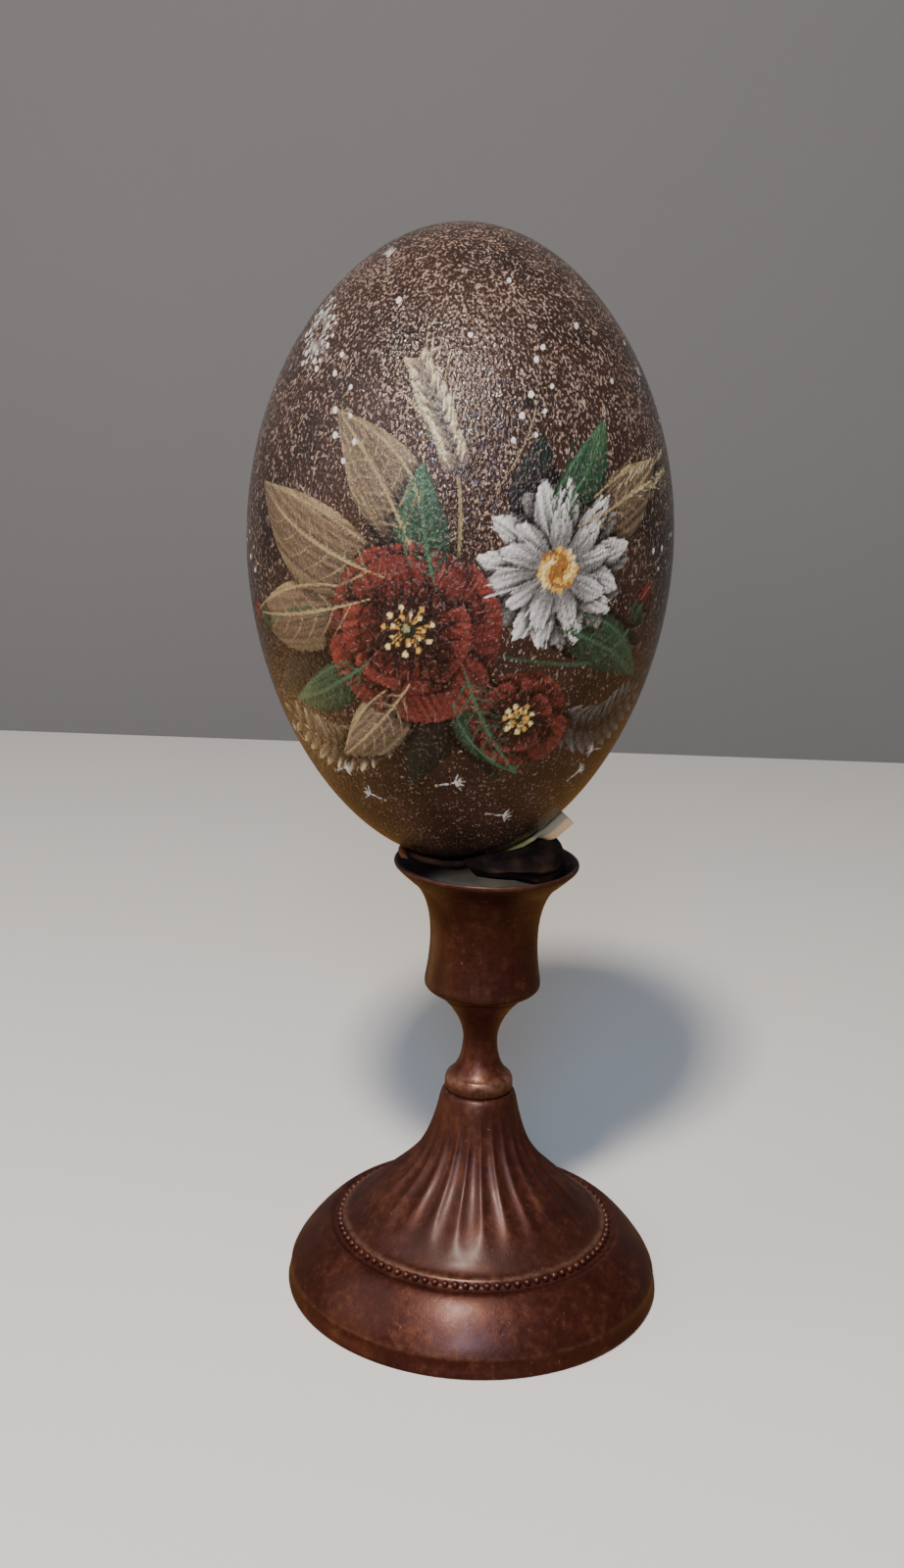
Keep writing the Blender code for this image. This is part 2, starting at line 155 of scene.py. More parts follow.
class Graph:
    """A node tree that is written as Python expressions."""

    def __init__(self, tree: bpy.types.NodeTree) -> None:
        """Keep the tree."""
        self.tree = tree

    def add(
        self, kind: str, settings: dict | None = None, inputs: dict | None = None, out: int | str = 0
    ) -> Sock:
        """Add a node.

        Args:
            kind: the node's type.
            settings: its properties.
            inputs: values or links for its sockets, by index or name.
            out: the output to hand back.

        Returns:
            The chosen output.
        """
        node = self.tree.nodes.new(kind)
        for name, value in (settings or {}).items():
            setattr(node, name, value)
        for name, value in (inputs or {}).items():
            self._feed(node.inputs[name], value)
        return Sock(self, node.outputs[out] if node.outputs else None)

    def _feed(self, target: bpy.types.NodeSocket, value: object) -> None:
        """Link a socket to a node's output, or set its own value."""
        if isinstance(value, Sock):
            self.tree.links.new(value.socket, target)
        elif isinstance(value, tuple) and len(value) == 3 and target.type == "RGBA":
            target.default_value = (*value, 1.0)
        else:
            target.default_value = value

    def math(self, operation: str, first: Value, second: Value = 0.0) -> Sock:
        """A Math node on two values."""
        return self.add("ShaderNodeMath", {"operation": operation}, {0: first, 1: second})

    def blend(self, factor: Value, first: object, second: object, mode: str = "MIX") -> Sock:
        """Mix two colours.

        Args:
            factor: how much of the second.
            first: a colour or an output.
            second: a colour or an output.
            mode: the Mix node's blend type.

        Returns:
            The mixed colour.
        """
        settings = {"data_type": "RGBA", "blend_type": mode}
        return self.add("ShaderNodeMix", settings, {0: factor, 6: first, 7: second}, out=2)

    def vector(self, operation: str, first: object, second: object, out: int = 0) -> Sock:
        """A Vector Math node on two vectors."""
        return self.add("ShaderNodeVectorMath", {"operation": operation}, {0: first, 1: second}, out)

    def part(self, vector: Sock, axis: int) -> Sock:
        """One coordinate of a vector: 0, 1 or 2."""
        return self.add("ShaderNodeSeparateXYZ", None, {0: vector}, out=axis)

    def cells(self, place: Sock, scale: float) -> Sock:
        """The distance to the nearest border in a pattern of cells."""
        settings = {"feature": "DISTANCE_TO_EDGE"}
        return self.add("ShaderNodeTexVoronoi", settings, {"Vector": place, "Scale": scale})

    def noise(
        self, place: Sock, scale: float, detail: float = 2.0, rough: float = 0.5, twist: float = 0.0
    ) -> Sock:
        """A noise pattern's value, from about 0.25 to 0.75.

        Args:
            place: where to read it.
            scale: cells per unit of place.
            detail: finer layers added.
            rough: how strong they are.
            twist: distortion.

        Returns:
            The value.
        """
        inputs = {
            "Vector": place, "Scale": scale, "Detail": detail, "Roughness": rough, "Distortion": twist,
        }
        return self.add("ShaderNodeTexNoise", None, inputs)

    def attribute(self, name: str, out: str = "Fac") -> Sock:
        """A mesh attribute's value, or its colour."""
        return self.add("ShaderNodeAttribute", {"attribute_name": name}, None, out)

    def place_mm(self, stretch: Colour = (1.0, 1.0, 1.0)) -> Sock:
        """Object coordinates in millimetres, times a stretch along each axis."""
        coordinates = self.add("ShaderNodeTexCoord", None, None, "Object")
        return self.vector("MULTIPLY", coordinates, tuple(PER_METRE * s for s in stretch))

    def bump(self, height: Sock, distance: float, strength: float = 1.0, under: Sock | None = None) -> Sock:
        """A Bump node.

        Args:
            height: the relief, from 0 to 1.
            distance: its depth in metres.
            strength: how much of it shows.
            under: another bump's output to lie on.

        Returns:
            The bent normal.
        """
        inputs = {"Strength": strength, "Distance": distance, "Height": height}
        if under is not None:
            inputs["Normal"] = under
        return self.add("ShaderNodeBump", None, inputs)


@dataclass(frozen=True)
class Finish:
    """A procedural finish. Its own values are the same all over the surface."""

    name: str
    fixed: dict[str, object] = field(default_factory=dict)

    def material(self) -> bpy.types.Material:
        """Build the material.

        Returns:
            A new material with a Principled shader.
        """
        material = bpy.data.materials.new(self.name)
        material.use_nodes = True
        material.node_tree.nodes.clear()
        graph = Graph(material.node_tree)
        inputs = dict(self.fixed)
        inputs.update(self.dress(graph))
        shader = graph.add("ShaderNodeBsdfPrincipled", None, inputs)
        graph.add("ShaderNodeOutputMaterial", None, {"Surface": shader})
        return material

    def dress(self, graph: Graph) -> dict[str, object]:
        """Sockets that change over the surface."""
        return {}


@dataclass(frozen=True)
class ShellFinish(Finish):
    """Dark grained eggshell under two coats of paint and a satin varnish."""

    ground: Colour = (0.0155, 0.0085, 0.0066)
    ground_red: Colour = (0.0325, 0.0155, 0.0108)
    grain: Colour = (0.112, 0.070, 0.052)
    grain_pale: Colour = (0.350, 0.240, 0.182)
    # Near-black painted shade for the shell's bottom, where it rests in the cup
    contact_shade: Colour = (0.0060, 0.0038, 0.0030)
    grain_pitch: float = 1.95
    grain_stretch: float = 0.58
    fuller_from: float = 118.0
    fuller_to: float = 218.0
    contact_shade_from: float = 113.0
    contact_shade_to: float = 103.5
    grain_relief: float = 0.16 * MM
    glint_relief: float = 0.34 * MM

    def dress(self, graph: Graph) -> dict[str, object]:
        """Grain, then the spray's body colours, then its fine strokes."""
        place = graph.place_mm()
        upright = graph.place_mm((1.0, 1.0, self.grain_stretch))
        height = graph.part(place, 2)
        worms = graph.noise(upright, self.grain_pitch, 0.8, 0.5, 0.2)
        cells = graph.cells(upright, 1.15)
        fine = graph.noise(upright, 4.2, 2.0, 0.5, 0.3)
        patches = graph.noise(place, 0.060, 2.0)
        clusters = graph.noise(place, 0.42, 1.0)
        full = height.above(self.fuller_from, self.fuller_to)
        edge = 0.606 - full * 0.074 - (patches - 0.5) * 0.12
        edge = edge - (clusters - 0.5) * 0.16 + (fine - 0.5) * 0.10 + cells.above(0.17, 0.0) * 0.085
        raised = (worms - edge).above(-0.020, 0.040)
        ground = graph.blend((patches + full * 0.14).above(0.39, 0.68), self.ground, self.ground_red)
        pale = (clusters * 0.4 + fine * 0.6 + full * 0.10).above(0.46, 0.70)
        grain = graph.blend(pale, self.grain, self.grain_pale)
        shell = graph.blend(raised * (0.66 + full * 0.20), ground, grain)
        # Painted shade: the shell darkens towards its bottom, where it sits in the cup's shade
        shell = graph.blend(height.above(self.contact_shade_from, self.contact_shade_to) * 0.75, shell, self.contact_shade)
        bristle = graph.noise(place, 1.5, 4.0, 0.65)
        ragged = (bristle - 0.5) * 0.50 + (worms - 0.5) * 0.55
        body = (graph.attribute("body_cover") + ragged).above(0.08, -0.12)
        strokes = (graph.attribute("stroke_cover") + ragged * 0.5).above(0.06, -0.08)
        thin = (bristle * 0.8 + worms * 0.6).above(0.70, 0.92)
        pigment = graph.blend(0.65, graph.attribute("body_paint", "Color"), bristle, "OVERLAY")
        pigment = graph.blend(thin * 0.35, pigment, grain)
        painted = graph.blend(body * 0.97, shell, pigment)
        line = graph.attribute("stroke_paint", "Color")
        painted = graph.blend(strokes * (1.0 - thin * 0.4), painted, line)
        covered = graph.math("MAXIMUM", body * 0.8, strokes * 0.6)
        rough = 0.145 + (fine - 0.5) * 0.10 + covered * 0.24
        broad = (worms - edge).above(-0.14, 0.12)
        glints = graph.noise(upright, 1.75, 1.2, 0.55)
        bare = 1.0 - covered * 0.45
        large = graph.bump(broad * bare, self.grain_relief)
        small = graph.bump(glints * bare + bristle * covered * 0.4, self.glint_relief, 1.0, large)
        return {"Base Color": painted, "Roughness": rough, "Normal": small}


@dataclass(frozen=True)
class CopperFinish(Finish):
    """Red-brown patina over copper, browner where it is handled, dark where it is dirty and where shade is
    painted, pale where highlights are painted, and pale tinning colour where light is painted inside the cup.
    """

    deep: Colour = (0.044, 0.0095, 0.0055)
    middle: Colour = (0.077, 0.0183, 0.0094)
    warm: Colour = (0.128, 0.044, 0.0180)
    # Pale tone for scratches, worn places and painted highlights
    rubbed_and_lit: Colour = (0.310, 0.170, 0.112)
    # Pale tinning colour, put only where light is painted inside the cup: partly the metal's own colour,
    # partly painted light
    tin_and_light: Colour = (0.900, 0.860, 0.740)
    # Dark tone for dirty places and for painted shade
    grime_and_shade: Colour = (0.014, 0.006, 0.004)
    metallic: float = 0.52
    dent_relief: float = 0.60 * MM
    pit_relief: float = 0.14 * MM

    def dress(self, graph: Graph) -> dict[str, object]:
        """Mottled patina, with pale tinning and painted light inside the cup, worn places and painted
        highlights, dirty places and painted shade, all from the mesh's attributes.
        """
        place = graph.place_mm()
        clouds = graph.noise(place, 0.11, 4.0, 0.6, 0.4)
        mottle = graph.noise(place, 0.55, 4.0, 0.65)
        specks = graph.noise(place, 3.4, 2.0)
        tone = clouds * 0.6 + mottle * 0.4
        colour = graph.blend(tone.above(0.33, 0.62), self.deep, self.middle)
        colour = graph.blend((clouds * 0.5 + mottle * 0.5).above(0.50, 0.66) * 0.7, colour, self.warm)
        colour = graph.blend(specks.above(0.62, 0.72) * 0.5, colour, self.deep)
        runs = graph.noise(graph.place_mm((0.30, 0.30, 0.09)), 1.0, 3.0, 0.6)
        colour = graph.blend(runs.above(0.56, 0.66) * 0.45, colour, self.deep)
        flecks = graph.noise(place, 0.85, 3.0, 0.75, 0.6).above(0.665, 0.715)
        colour = graph.blend(flecks * 0.45, colour, self.rubbed_and_lit)
        # Painted light: the pale tinning band inside the cup
        tin_light = graph.attribute("tin_and_light") * (0.75 + mottle.above(0.25, 0.45) * 0.25)
        colour = graph.blend(tin_light, colour, self.tin_and_light)
        # Worn places and painted highlights, paler
        wear_and_highlight = graph.attribute("wear_and_highlight") * (0.35 + mottle.above(0.34, 0.58) * 0.65)
        colour = graph.blend(wear_and_highlight * 0.85, colour, self.rubbed_and_lit)
        # Dirty places and painted shade, darker
        dirt_and_shade = graph.attribute("dirt_and_shade")
        colour = graph.blend(dirt_and_shade * 0.6, colour, self.grime_and_shade)
        rough = 0.43 + (mottle - 0.5) * 0.55 + dirt_and_shade * 0.25 - wear_and_highlight * 0.08
        metal = (self.metallic - specks.above(0.55, 0.70) * 0.15 - dirt_and_shade * 0.4) * (1.0 - tin_light * 0.8)
        dents = graph.bump(clouds, self.dent_relief, 0.25)
        rubs = graph.noise(graph.place_mm((2.2, 2.2, 0.35)), 0.9, 2.0)
        pits = graph.bump(mottle * 0.5 + specks * 0.3 + rubs * 0.4, self.pit_relief, 0.5, dents)
        return {"Base Color": colour, "Roughness": rough, "Metallic": metal, "Normal": pits}


@dataclass(frozen=True)
class LeatherFinish(Finish):
    """Dark brown pressed leather, worn paler on its folds, with painted light on its left side and its curl.
    """

    deep: Colour = (0.0125, 0.0062, 0.0042)
    middle: Colour = (0.034, 0.0150, 0.0095)
    # Paler tone for the worn folds and for painted light on the left
    rubbed_and_lit: Colour = (0.098, 0.043, 0.028)
    # Orange of the painted highlight on the curl over the lip
    curl_highlight: Colour = (0.230, 0.080, 0.032)
    relief: float = 0.15 * MM

    def dress(self, graph: Graph) -> dict[str, object]:
        """Pebbled grain with creases; painted light makes it paler and redder towards the left and orange on
        the curl.
        """
        place = graph.place_mm()
        across = graph.part(place, 0)
        clouds = graph.noise(place, 0.25, 3.0, 0.6)
        pebble = graph.cells(place, 2.6).above(0.02, 0.16)
        fibre = graph.noise(place, 5.0, 3.0, 0.7)
        colour = graph.blend(clouds.above(0.35, 0.62), self.deep, self.middle)
        colour = graph.blend((clouds + fibre * 0.4).above(0.66, 0.86) * 0.4, colour, self.rubbed_and_lit)
        # Painted light: paler and redder towards the left, where the band lies in the egg's shade
        colour = graph.blend(across.above(0.0, -9.0) * 0.85, colour, self.rubbed_and_lit)
        # Painted highlight: orange on the curl over the lip
        colour = graph.blend(across.above(-11.0, -13.5) * clouds.above(0.30, 0.50), colour, self.curl_highlight)
        colour = graph.blend((1.0 - pebble) * 0.6, colour, self.deep)
        rough = 0.78 + (fibre - 0.5) * 0.3
        relief = graph.bump(pebble * 0.7 + fibre * 0.3, self.relief, 0.6)
        return {"Base Color": colour, "Roughness": rough, "Normal": relief}


@dataclass(frozen=True)
class CardFinish(Finish):
    """Cream card: grey on its face, orange along its right edge, yellowed where it is pushed in."""

    face: Colour = (0.270, 0.245, 0.190)
    cut: Colour = (0.640, 0.400, 0.210)
    aged: Colour = (0.720, 0.620, 0.210)
    fibre: Colour = (0.560, 0.480, 0.340)
    relief: float = 0.10 * MM

    def dress(self, graph: Graph) -> dict[str, object]:
        """Paper fibre over the three tones, placed by the mesh's attributes."""
        fibre = graph.noise(graph.place_mm((1.0, 1.0, 0.35)), 4.0, 4.0, 0.7)
        stain = graph.noise(graph.place_mm(), 0.8, 2.0)
        colour = graph.blend(graph.attribute("cut"), self.face, self.cut)
        colour = graph.blend(graph.attribute("aged") * (0.6 + stain * 0.6), colour, self.aged)
        colour = graph.blend(fibre.above(0.50, 0.75) * 0.40, colour, self.fibre)
        relief = graph.bump(fibre, self.relief, 0.5)
        return {"Base Color": colour, "Roughness": 0.62 + (fibre - 0.5) * 0.3, "Normal": relief}


@dataclass(frozen=True)
class StageFinish(Finish):
    """A plain matt surface with a faint unevenness."""

    tone: Colour = (0.6, 0.6, 0.6)
    clouded: float = 0.93

    def dress(self, graph: Graph) -> dict[str, object]:
        """One pale tone, very slightly clouded."""
        clouds = graph.noise(graph.place_mm(), 0.004, 3.0)
        shade = tuple(self.clouded * c for c in self.tone)
        return {"Base Color": graph.blend(clouds, shade, self.tone)}


def cubic(start: tuple, pull_start: tuple, pull_end: tuple, end: tuple, steps: int) -> Profile:
    """Points of a cubic curve in a plane, both ends included.

    Args:
        start: first point.
        pull_start: first handle.
        pull_end: second handle.
        end: last point.
        steps: spans along it.

    Returns:
        The points.
    """
    t = np.linspace(0.0, 1.0, steps + 1)[:, None]
    s = 1.0 - t
    a, b, c, d = (np.array(point, float) for point in (start, pull_start, pull_end, end))
    curve = s**3 * a + 3 * s * s * t * b + 3 * s * t * t * c + t**3 * d
    return [tuple(p) for p in curve]


def softened(points: Profile, rounds: int = 2, closed: bool = False) -> Profile:
    """Round a line's corners by cutting them again and again.

    Args:
        points: the line.
        rounds: how many times.
        closed: whether its end meets its start.

    Returns:
        The rounder line, with an open line's ends kept.
    """
    line = np.array(points, float)
    for _ in range(rounds):
        after = np.roll(line, -1, axis=0) if closed else line[1:]
        before = line if closed else line[:-1]
        cut = np.stack([0.75 * before + 0.25 * after, 0.25 * before + 0.75 * after], axis=1)
        cut = cut.reshape(-1, 2)
        line = cut if closed else np.vstack([line[:1], cut, line[-1:]])
    return [tuple(p) for p in line]


def plain_object(name: str, mesh: bpy.types.Mesh) -> bpy.types.Object:
    """A new object for a mesh, in the scene."""
    obj = bpy.data.objects.new(name, mesh)
    bpy.context.scene.collection.objects.link(obj)
    return obj


def lathed(
    name: str, profile: Profile, steps: int, axis_x: float, closed: bool = False
) -> bpy.types.Object:
    """Turn a profile round an upright axis.

    Args:
        name: the object's name.
        profile: radius and height pairs in millimetres, run down the outer side.
        steps: facets round the axis.
        axis_x: the axis's place along X, in metres.
        closed: whether the profile is a ring.

    Returns:
        The turned object, with its place in its mesh.
    """
    points = np.array(profile, float) * MM
    turn = np.linspace(0.0, 2.0 * math.pi, steps, endpoint=False)
    rings = np.stack(
        [
            axis_x + points[:, :1] * np.cos(turn),
            points[:, :1] * np.sin(turn),
            np.repeat(points[:, 1:], steps, axis=1),
        ],
        axis=-1,
    )
    count = len(points)
    faces = []
    for i in range(count if closed else count - 1):
        j = (i + 1) % count
        for k in range(steps):
            n = (k + 1) % steps
            faces.append((i * steps + k, j * steps + k, j * steps + n, i * steps + n))
    mesh = bpy.data.meshes.new(name)
    mesh.from_pydata(rings.reshape(-1, 3).tolist(), [], faces)
    obj = plain_object(name, mesh)
    return edited(obj, merged)


def edited(obj: bpy.types.Object, change: Callable[[bmesh.types.BMesh], None]) -> bpy.types.Object:
    """Run a function on an object's mesh as a bmesh."""
    bm = bmesh.new()
    bm.from_mesh(obj.data)
    change(bm)
    bm.to_mesh(obj.data)
    bm.free()
    return obj


def merged(bm: bmesh.types.BMesh) -> None:
    """Join points that meet, drop faces without area and turn the rest outward."""
    bmesh.ops.remove_doubles(bm, verts=bm.verts, dist=MERGE)
    bmesh.ops.dissolve_degenerate(bm, edges=bm.edges, dist=MERGE)
    bmesh.ops.recalc_face_normals(bm, faces=bm.faces)


def settled(obj: bpy.types.Object) -> bpy.types.Object:
    """Replace an object by a plain mesh of its evaluated shape, under the same name."""
    name = obj.name
    bpy.context.view_layer.update()
    evaluated = obj.evaluated_get(bpy.context.evaluated_depsgraph_get())
    mesh = bpy.data.meshes.new_from_object(evaluated)
    bpy.data.objects.remove(obj, do_unlink=True)
    mesh.name = name
    return plain_object(name, mesh)


def spots(obj: bpy.types.Object) -> np.ndarray:
    """The mesh's points, one row each, in metres."""
    flat = np.empty(3 * len(obj.data.vertices))
    obj.data.vertices.foreach_get("co", flat)
    return flat.reshape(-1, 3)


def give_values(obj: bpy.types.Object, name: str, values: np.ndarray) -> None:
    """Store a number or a colour on each point of a mesh."""
    kind, member = "FLOAT", "value"
    if values.ndim == 2:
        kind, member = "FLOAT_COLOR", "color"
        values = np.hstack([values, np.ones((len(values), 1))])
    attribute = obj.data.attributes.new(name, kind, "POINT")
    attribute.data.foreach_set(member, values.astype(np.float32).ravel())


def step(low: float, high: float, x: np.ndarray) -> np.ndarray:
    """A soft step from 0 at low to 1 at high."""
    t = np.clip((x - low) / (high - low), 0.0, 1.0)
    return t * t * (3.0 - 2.0 * t)


def bell(x: np.ndarray | float, centre: float, width: float) -> np.ndarray | float:
    """A smooth hump, 1 at its centre."""
    return np.exp(-(((x - centre) / width) ** 2))


def present(
    obj: bpy.types.Object, finish: Finish, node: str, sharp: float = 50.0
) -> bpy.types.Object:
    """Shade, dress and seat a finished piece in the frame.

    Args:
        obj: the piece.
        finish: its material's finish.
        node: the frame's node that it stands for.
        sharp: edges steeper than this angle, in degrees, stay crisp.

    Returns:
        The piece.
    """
    obj.data.materials.clear()
    obj.data.materials.append(finish.material())
    obj.data.shade_smooth()
    obj.data.set_sharp_from_angle(angle=math.radians(sharp))
    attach(obj, BODY)
    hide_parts(node)
    LOG.info("%s: %d points, for %s", obj.name, len(obj.data.vertices), node)
    return obj


class FormTree:
    """A Geometry Nodes tree with named inputs that ends in one plain mesh."""

    def __init__(self, name: str, sizes: dict[str, float | int]) -> None:
        """Open the tree and name its inputs.

        Args:
            name: the tree's name.
            sizes: input names with their values, whole numbers for counts.
        """
        self.tree = bpy.data.node_groups.new(name, "GeometryNodeTree")
        self.graph = Graph(self.tree)
        self.values = {}
        face = self.tree.interface
        face.new_socket("Geometry", in_out="INPUT", socket_type="NodeSocketGeometry")
        face.new_socket("Geometry", in_out="OUTPUT", socket_type="NodeSocketGeometry")
        for title, value in sizes.items():
            kind = "NodeSocketInt" if isinstance(value, int) else "NodeSocketFloat"
            socket = face.new_socket(title, in_out="INPUT", socket_type=kind)
            self.values[socket.identifier] = value
        self.entry = self.tree.nodes.new("NodeGroupInput")

    def size(self, title: str) -> Sock:
        """A named input."""
        return Sock(self.graph, self.entry.outputs[title])

    def close(self, shape: Sock) -> None:
        """End the tree in real faces, passed through a Set Material node."""
        real = self.graph.add("GeometryNodeRealizeInstances", None, {0: shape})
        dressed = self.graph.add("GeometryNodeSetMaterial", None, {"Geometry": real})
        leave = self.tree.nodes.new("NodeGroupOutput")
        self.tree.links.new(dressed.socket, leave.inputs[0])

    def run(self, obj: bpy.types.Object) -> bpy.types.Object:
        """Apply the tree to an object.

        Args:
            obj: what it starts from.

        Returns:
            A plain mesh object of the result, with no modifier.
        """
        modifier = obj.modifiers.new(self.tree.name, "NODES")
        modifier.node_group = self.tree
        for identifier, value in self.values.items():
            modifier[identifier] = value
        return settled(obj)


@dataclass
class EggForm:
    """The egg's shape and place, the same as the frame's solid but finer."""

    half_length: float = 65.9
    half_width: float = 44.3
    swell: float = 0.039
    taper: float = 0.060
    sharpen: float = 0.012
    axis_x: float = AXIS
    offset_x: float = -8.0
    centre_z: float = 168.0
    lean_left: float = 0.7
    lean_forward: float = 0.7
    columns: int = 312
    rows: int = 318
    front_share: float = 0.45
    middle_share: float = 0.62

    def pose(self) -> Matrix:
        """The egg's place in the stand."""
        place = Matrix.Translation(Vector((self.axis_x + self.offset_x, 0.0, self.centre_z)) * MM)
        left = Matrix.Rotation(-math.radians(self.lean_left), 4, "Y")
        return place @ left @ Matrix.Rotation(math.radians(self.lean_forward), 4, "X")

    def tree(self) -> FormTree:
        """The rule that rolls a flat grid into the egg, finest at the front middle.

        Returns:
            The tree, its sizes in metres.
        """
        form = FormTree(
            "egg_form",
            {
                "Half Length": self.half_length * MM,
                "Half Width": self.half_width * MM,
                "Swell": self.swell,
                "Taper": self.taper,
                "Sharpen": self.sharpen,
                "Columns": self.columns + 1,
                "Rows": self.rows + 1,
                "Front Share": self.front_share,
                "Middle Share": self.middle_share,
            },
        )
        graph = form.graph
        inputs = {"Vertices X": form.size("Columns"), "Vertices Y": form.size("Rows")}
        grid = graph.add("GeometryNodeMeshGrid", None, inputs)
        flat = graph.add("GeometryNodeInputPosition")
        across, up = graph.part(flat, 0), graph.part(flat, 1)

        def crowded(x: Sock, share: Sock) -> Sock:
            """Draw points together round the middle: the slope there is the share."""
            return x * (share + (64.0 - share * 64.0) * x**6)

        turn = crowded(across, form.size("Front Share")) * (2.0 * math.pi) - 0.5 * math.pi
        rise = crowded(up, form.size("Middle Share")) * math.pi
        along = graph.math("SINE", rise)
        swell = along * form.size("Swell") - along**2 * form.size("Taper")
        swell = swell - along * along**2 * form.size("Sharpen") + 1.0
        radius = graph.math("COSINE", rise) * form.size("Half Width") * swell
        parts = {
            0: radius * graph.math("COSINE", turn),
            1: radius * graph.math("SINE", turn),
            2: along * form.size("Half Length"),
        }
        target = graph.add("ShaderNodeCombineXYZ", None, parts)
        shaped = graph.add("GeometryNodeSetPosition", None, {"Geometry": grid, "Position": target})
        joined = {"Geometry": shaped, "Distance": SEAM}
        form.close(graph.add("GeometryNodeMergeByDistance", None, joined))
        return form


@dataclass
class Coat:
    """One coat of paint on the egg, known at each of its mesh's points.

    Places are millimetres across the front and up from the egg's widest part. The cover is
    the distance from the nearest painted edge, negative under the paint.
    """

    across: np.ndarray
    up: np.ndarray
    cover: np.ndarray = field(init=False)
    paint: np.ndarray = field(init=False)
    run_on: float = 1.0
    bare: float = 4.0

    def __post_init__(self) -> None:
        """Start with nothing painted."""
        self.cover = np.full(len(self.across), self.bare)
        self.paint = np.tile(np.array(Tint.TAN.value), (len(self.across), 1))

    def near(self, x: float, y: float, reach: float) -> np.ndarray:
        """Numbers of the points within reach of a place."""
        return np.nonzero((abs(self.across - x) < reach) & (abs(self.up - y) < reach))[0]

    def lay(self, near: np.ndarray, distance: np.ndarray, colour: np.ndarray) -> None:
        """Paint over what is there, and carry the colour a little past the new edge.

        Args:
            near: numbers of the points.
            distance: each one's distance from the new shape's edge, negative inside.
            colour: each one's colour.
        """
        bare = (self.cover[near] > 0.0) & (distance < self.cover[near]) & (distance < self.run_on)
        take = (distance < 0.0) | bare
        self.paint[near[take]] = colour[take]
        self.cover[near] = np.minimum(self.cover[near], distance)

    def shade(self, near: np.ndarray, distance: np.ndarray, depth: float, reach: float) -> None:
        """Darken the paint just outside a shape that is about to be laid over it."""
        self.paint[near] *= (1.0 - depth * step(reach, 0.0, distance))[:, None]

    def wet(self) -> float:
        """Share of the points under paint."""
        return float((self.cover < 0.0).mean())


def ripple(x: np.ndarray, y: np.ndarray, seed: int) -> np.ndarray:
    """Soft unevenness between -1 and 1, different for each seed."""
    draw = np.random.default_rng(seed)
    total = np.zeros_like(x)
    for _ in range(4):
        a, b, phase = draw.uniform(0.5, 1.6), draw.uniform(-0.5, 0.5), draw.uniform(0.0, 6.28)
        total += np.sin(a * x + b * y + phase)
    return total / 4.0


def mixed(first: np.ndarray, second: Tint, share: np.ndarray) -> np.ndarray:
    """Colours moved towards a tint."""
    return first + (np.array(second.value) - first) * np.clip(share, 0.0, 1.0)[:, None]


def heading(angle: float) -> tuple[np.ndarray, np.ndarray]:
    """Unit vectors along a direction in degrees, and to its left."""
    a = math.radians(angle)
    return np.array([math.cos(a), math.sin(a)]), np.array([-math.sin(a), math.cos(a)])


def beyond(x: float, y: float, angle: float, reach: float) -> Spot:
    """The place at a distance from another, in a direction in degrees."""
    a = math.radians(angle)
    return x + reach * math.cos(a), y + reach * math.sin(a)


def lit(angle: float) -> float:
    """How far the left side of a shape that points this way, in degrees, turns to the light."""
    a = math.radians(angle)
    return 0.5 * math.sin(a) + 0.85 * math.cos(a)


@dataclass(frozen=True)
class Brush:
    """How a loaded brush leaves a petal or leaf: its tones and its streaks."""

    root: Tint
    body: Tint
    tip: Tint
    rim: Tint
    rim_share: float = 0.6
    streak: float = 0.35
    pitch: float = 0.55

    def colour(self, u: np.ndarray, w: np.ndarray, x: np.ndarray, seed: int) -> np.ndarray:
        """Colours inside one shape.

        Args:
            u: share of the way from root to tip.
            w: millimetres from the middle line.
            x: the same as a share of the half width.
            seed: picks the streaks.

        Returns:
            One colour for each point.
        """
        tone = np.tile(np.array(self.root.value), (len(u), 1))
        streaks = ripple(w * (2.0 * math.pi / self.pitch / 2.2), u * 5.0, seed)
        tone = mixed(tone, self.body, step(0.0, 0.42, u + 0.12 * streaks))
        tone = mixed(tone, self.tip, step(0.50, 1.0, u + 0.22 * streaks) * 0.85)
        at_rim = step(0.62, 1.0, abs(x) + 0.10 * streaks)
        tone = mixed(tone, self.rim, at_rim * self.rim_share * step(0.1, 0.5, u))
        return np.clip(tone * (1.0 + self.streak * streaks)[:, None], 0.0, 1.0)


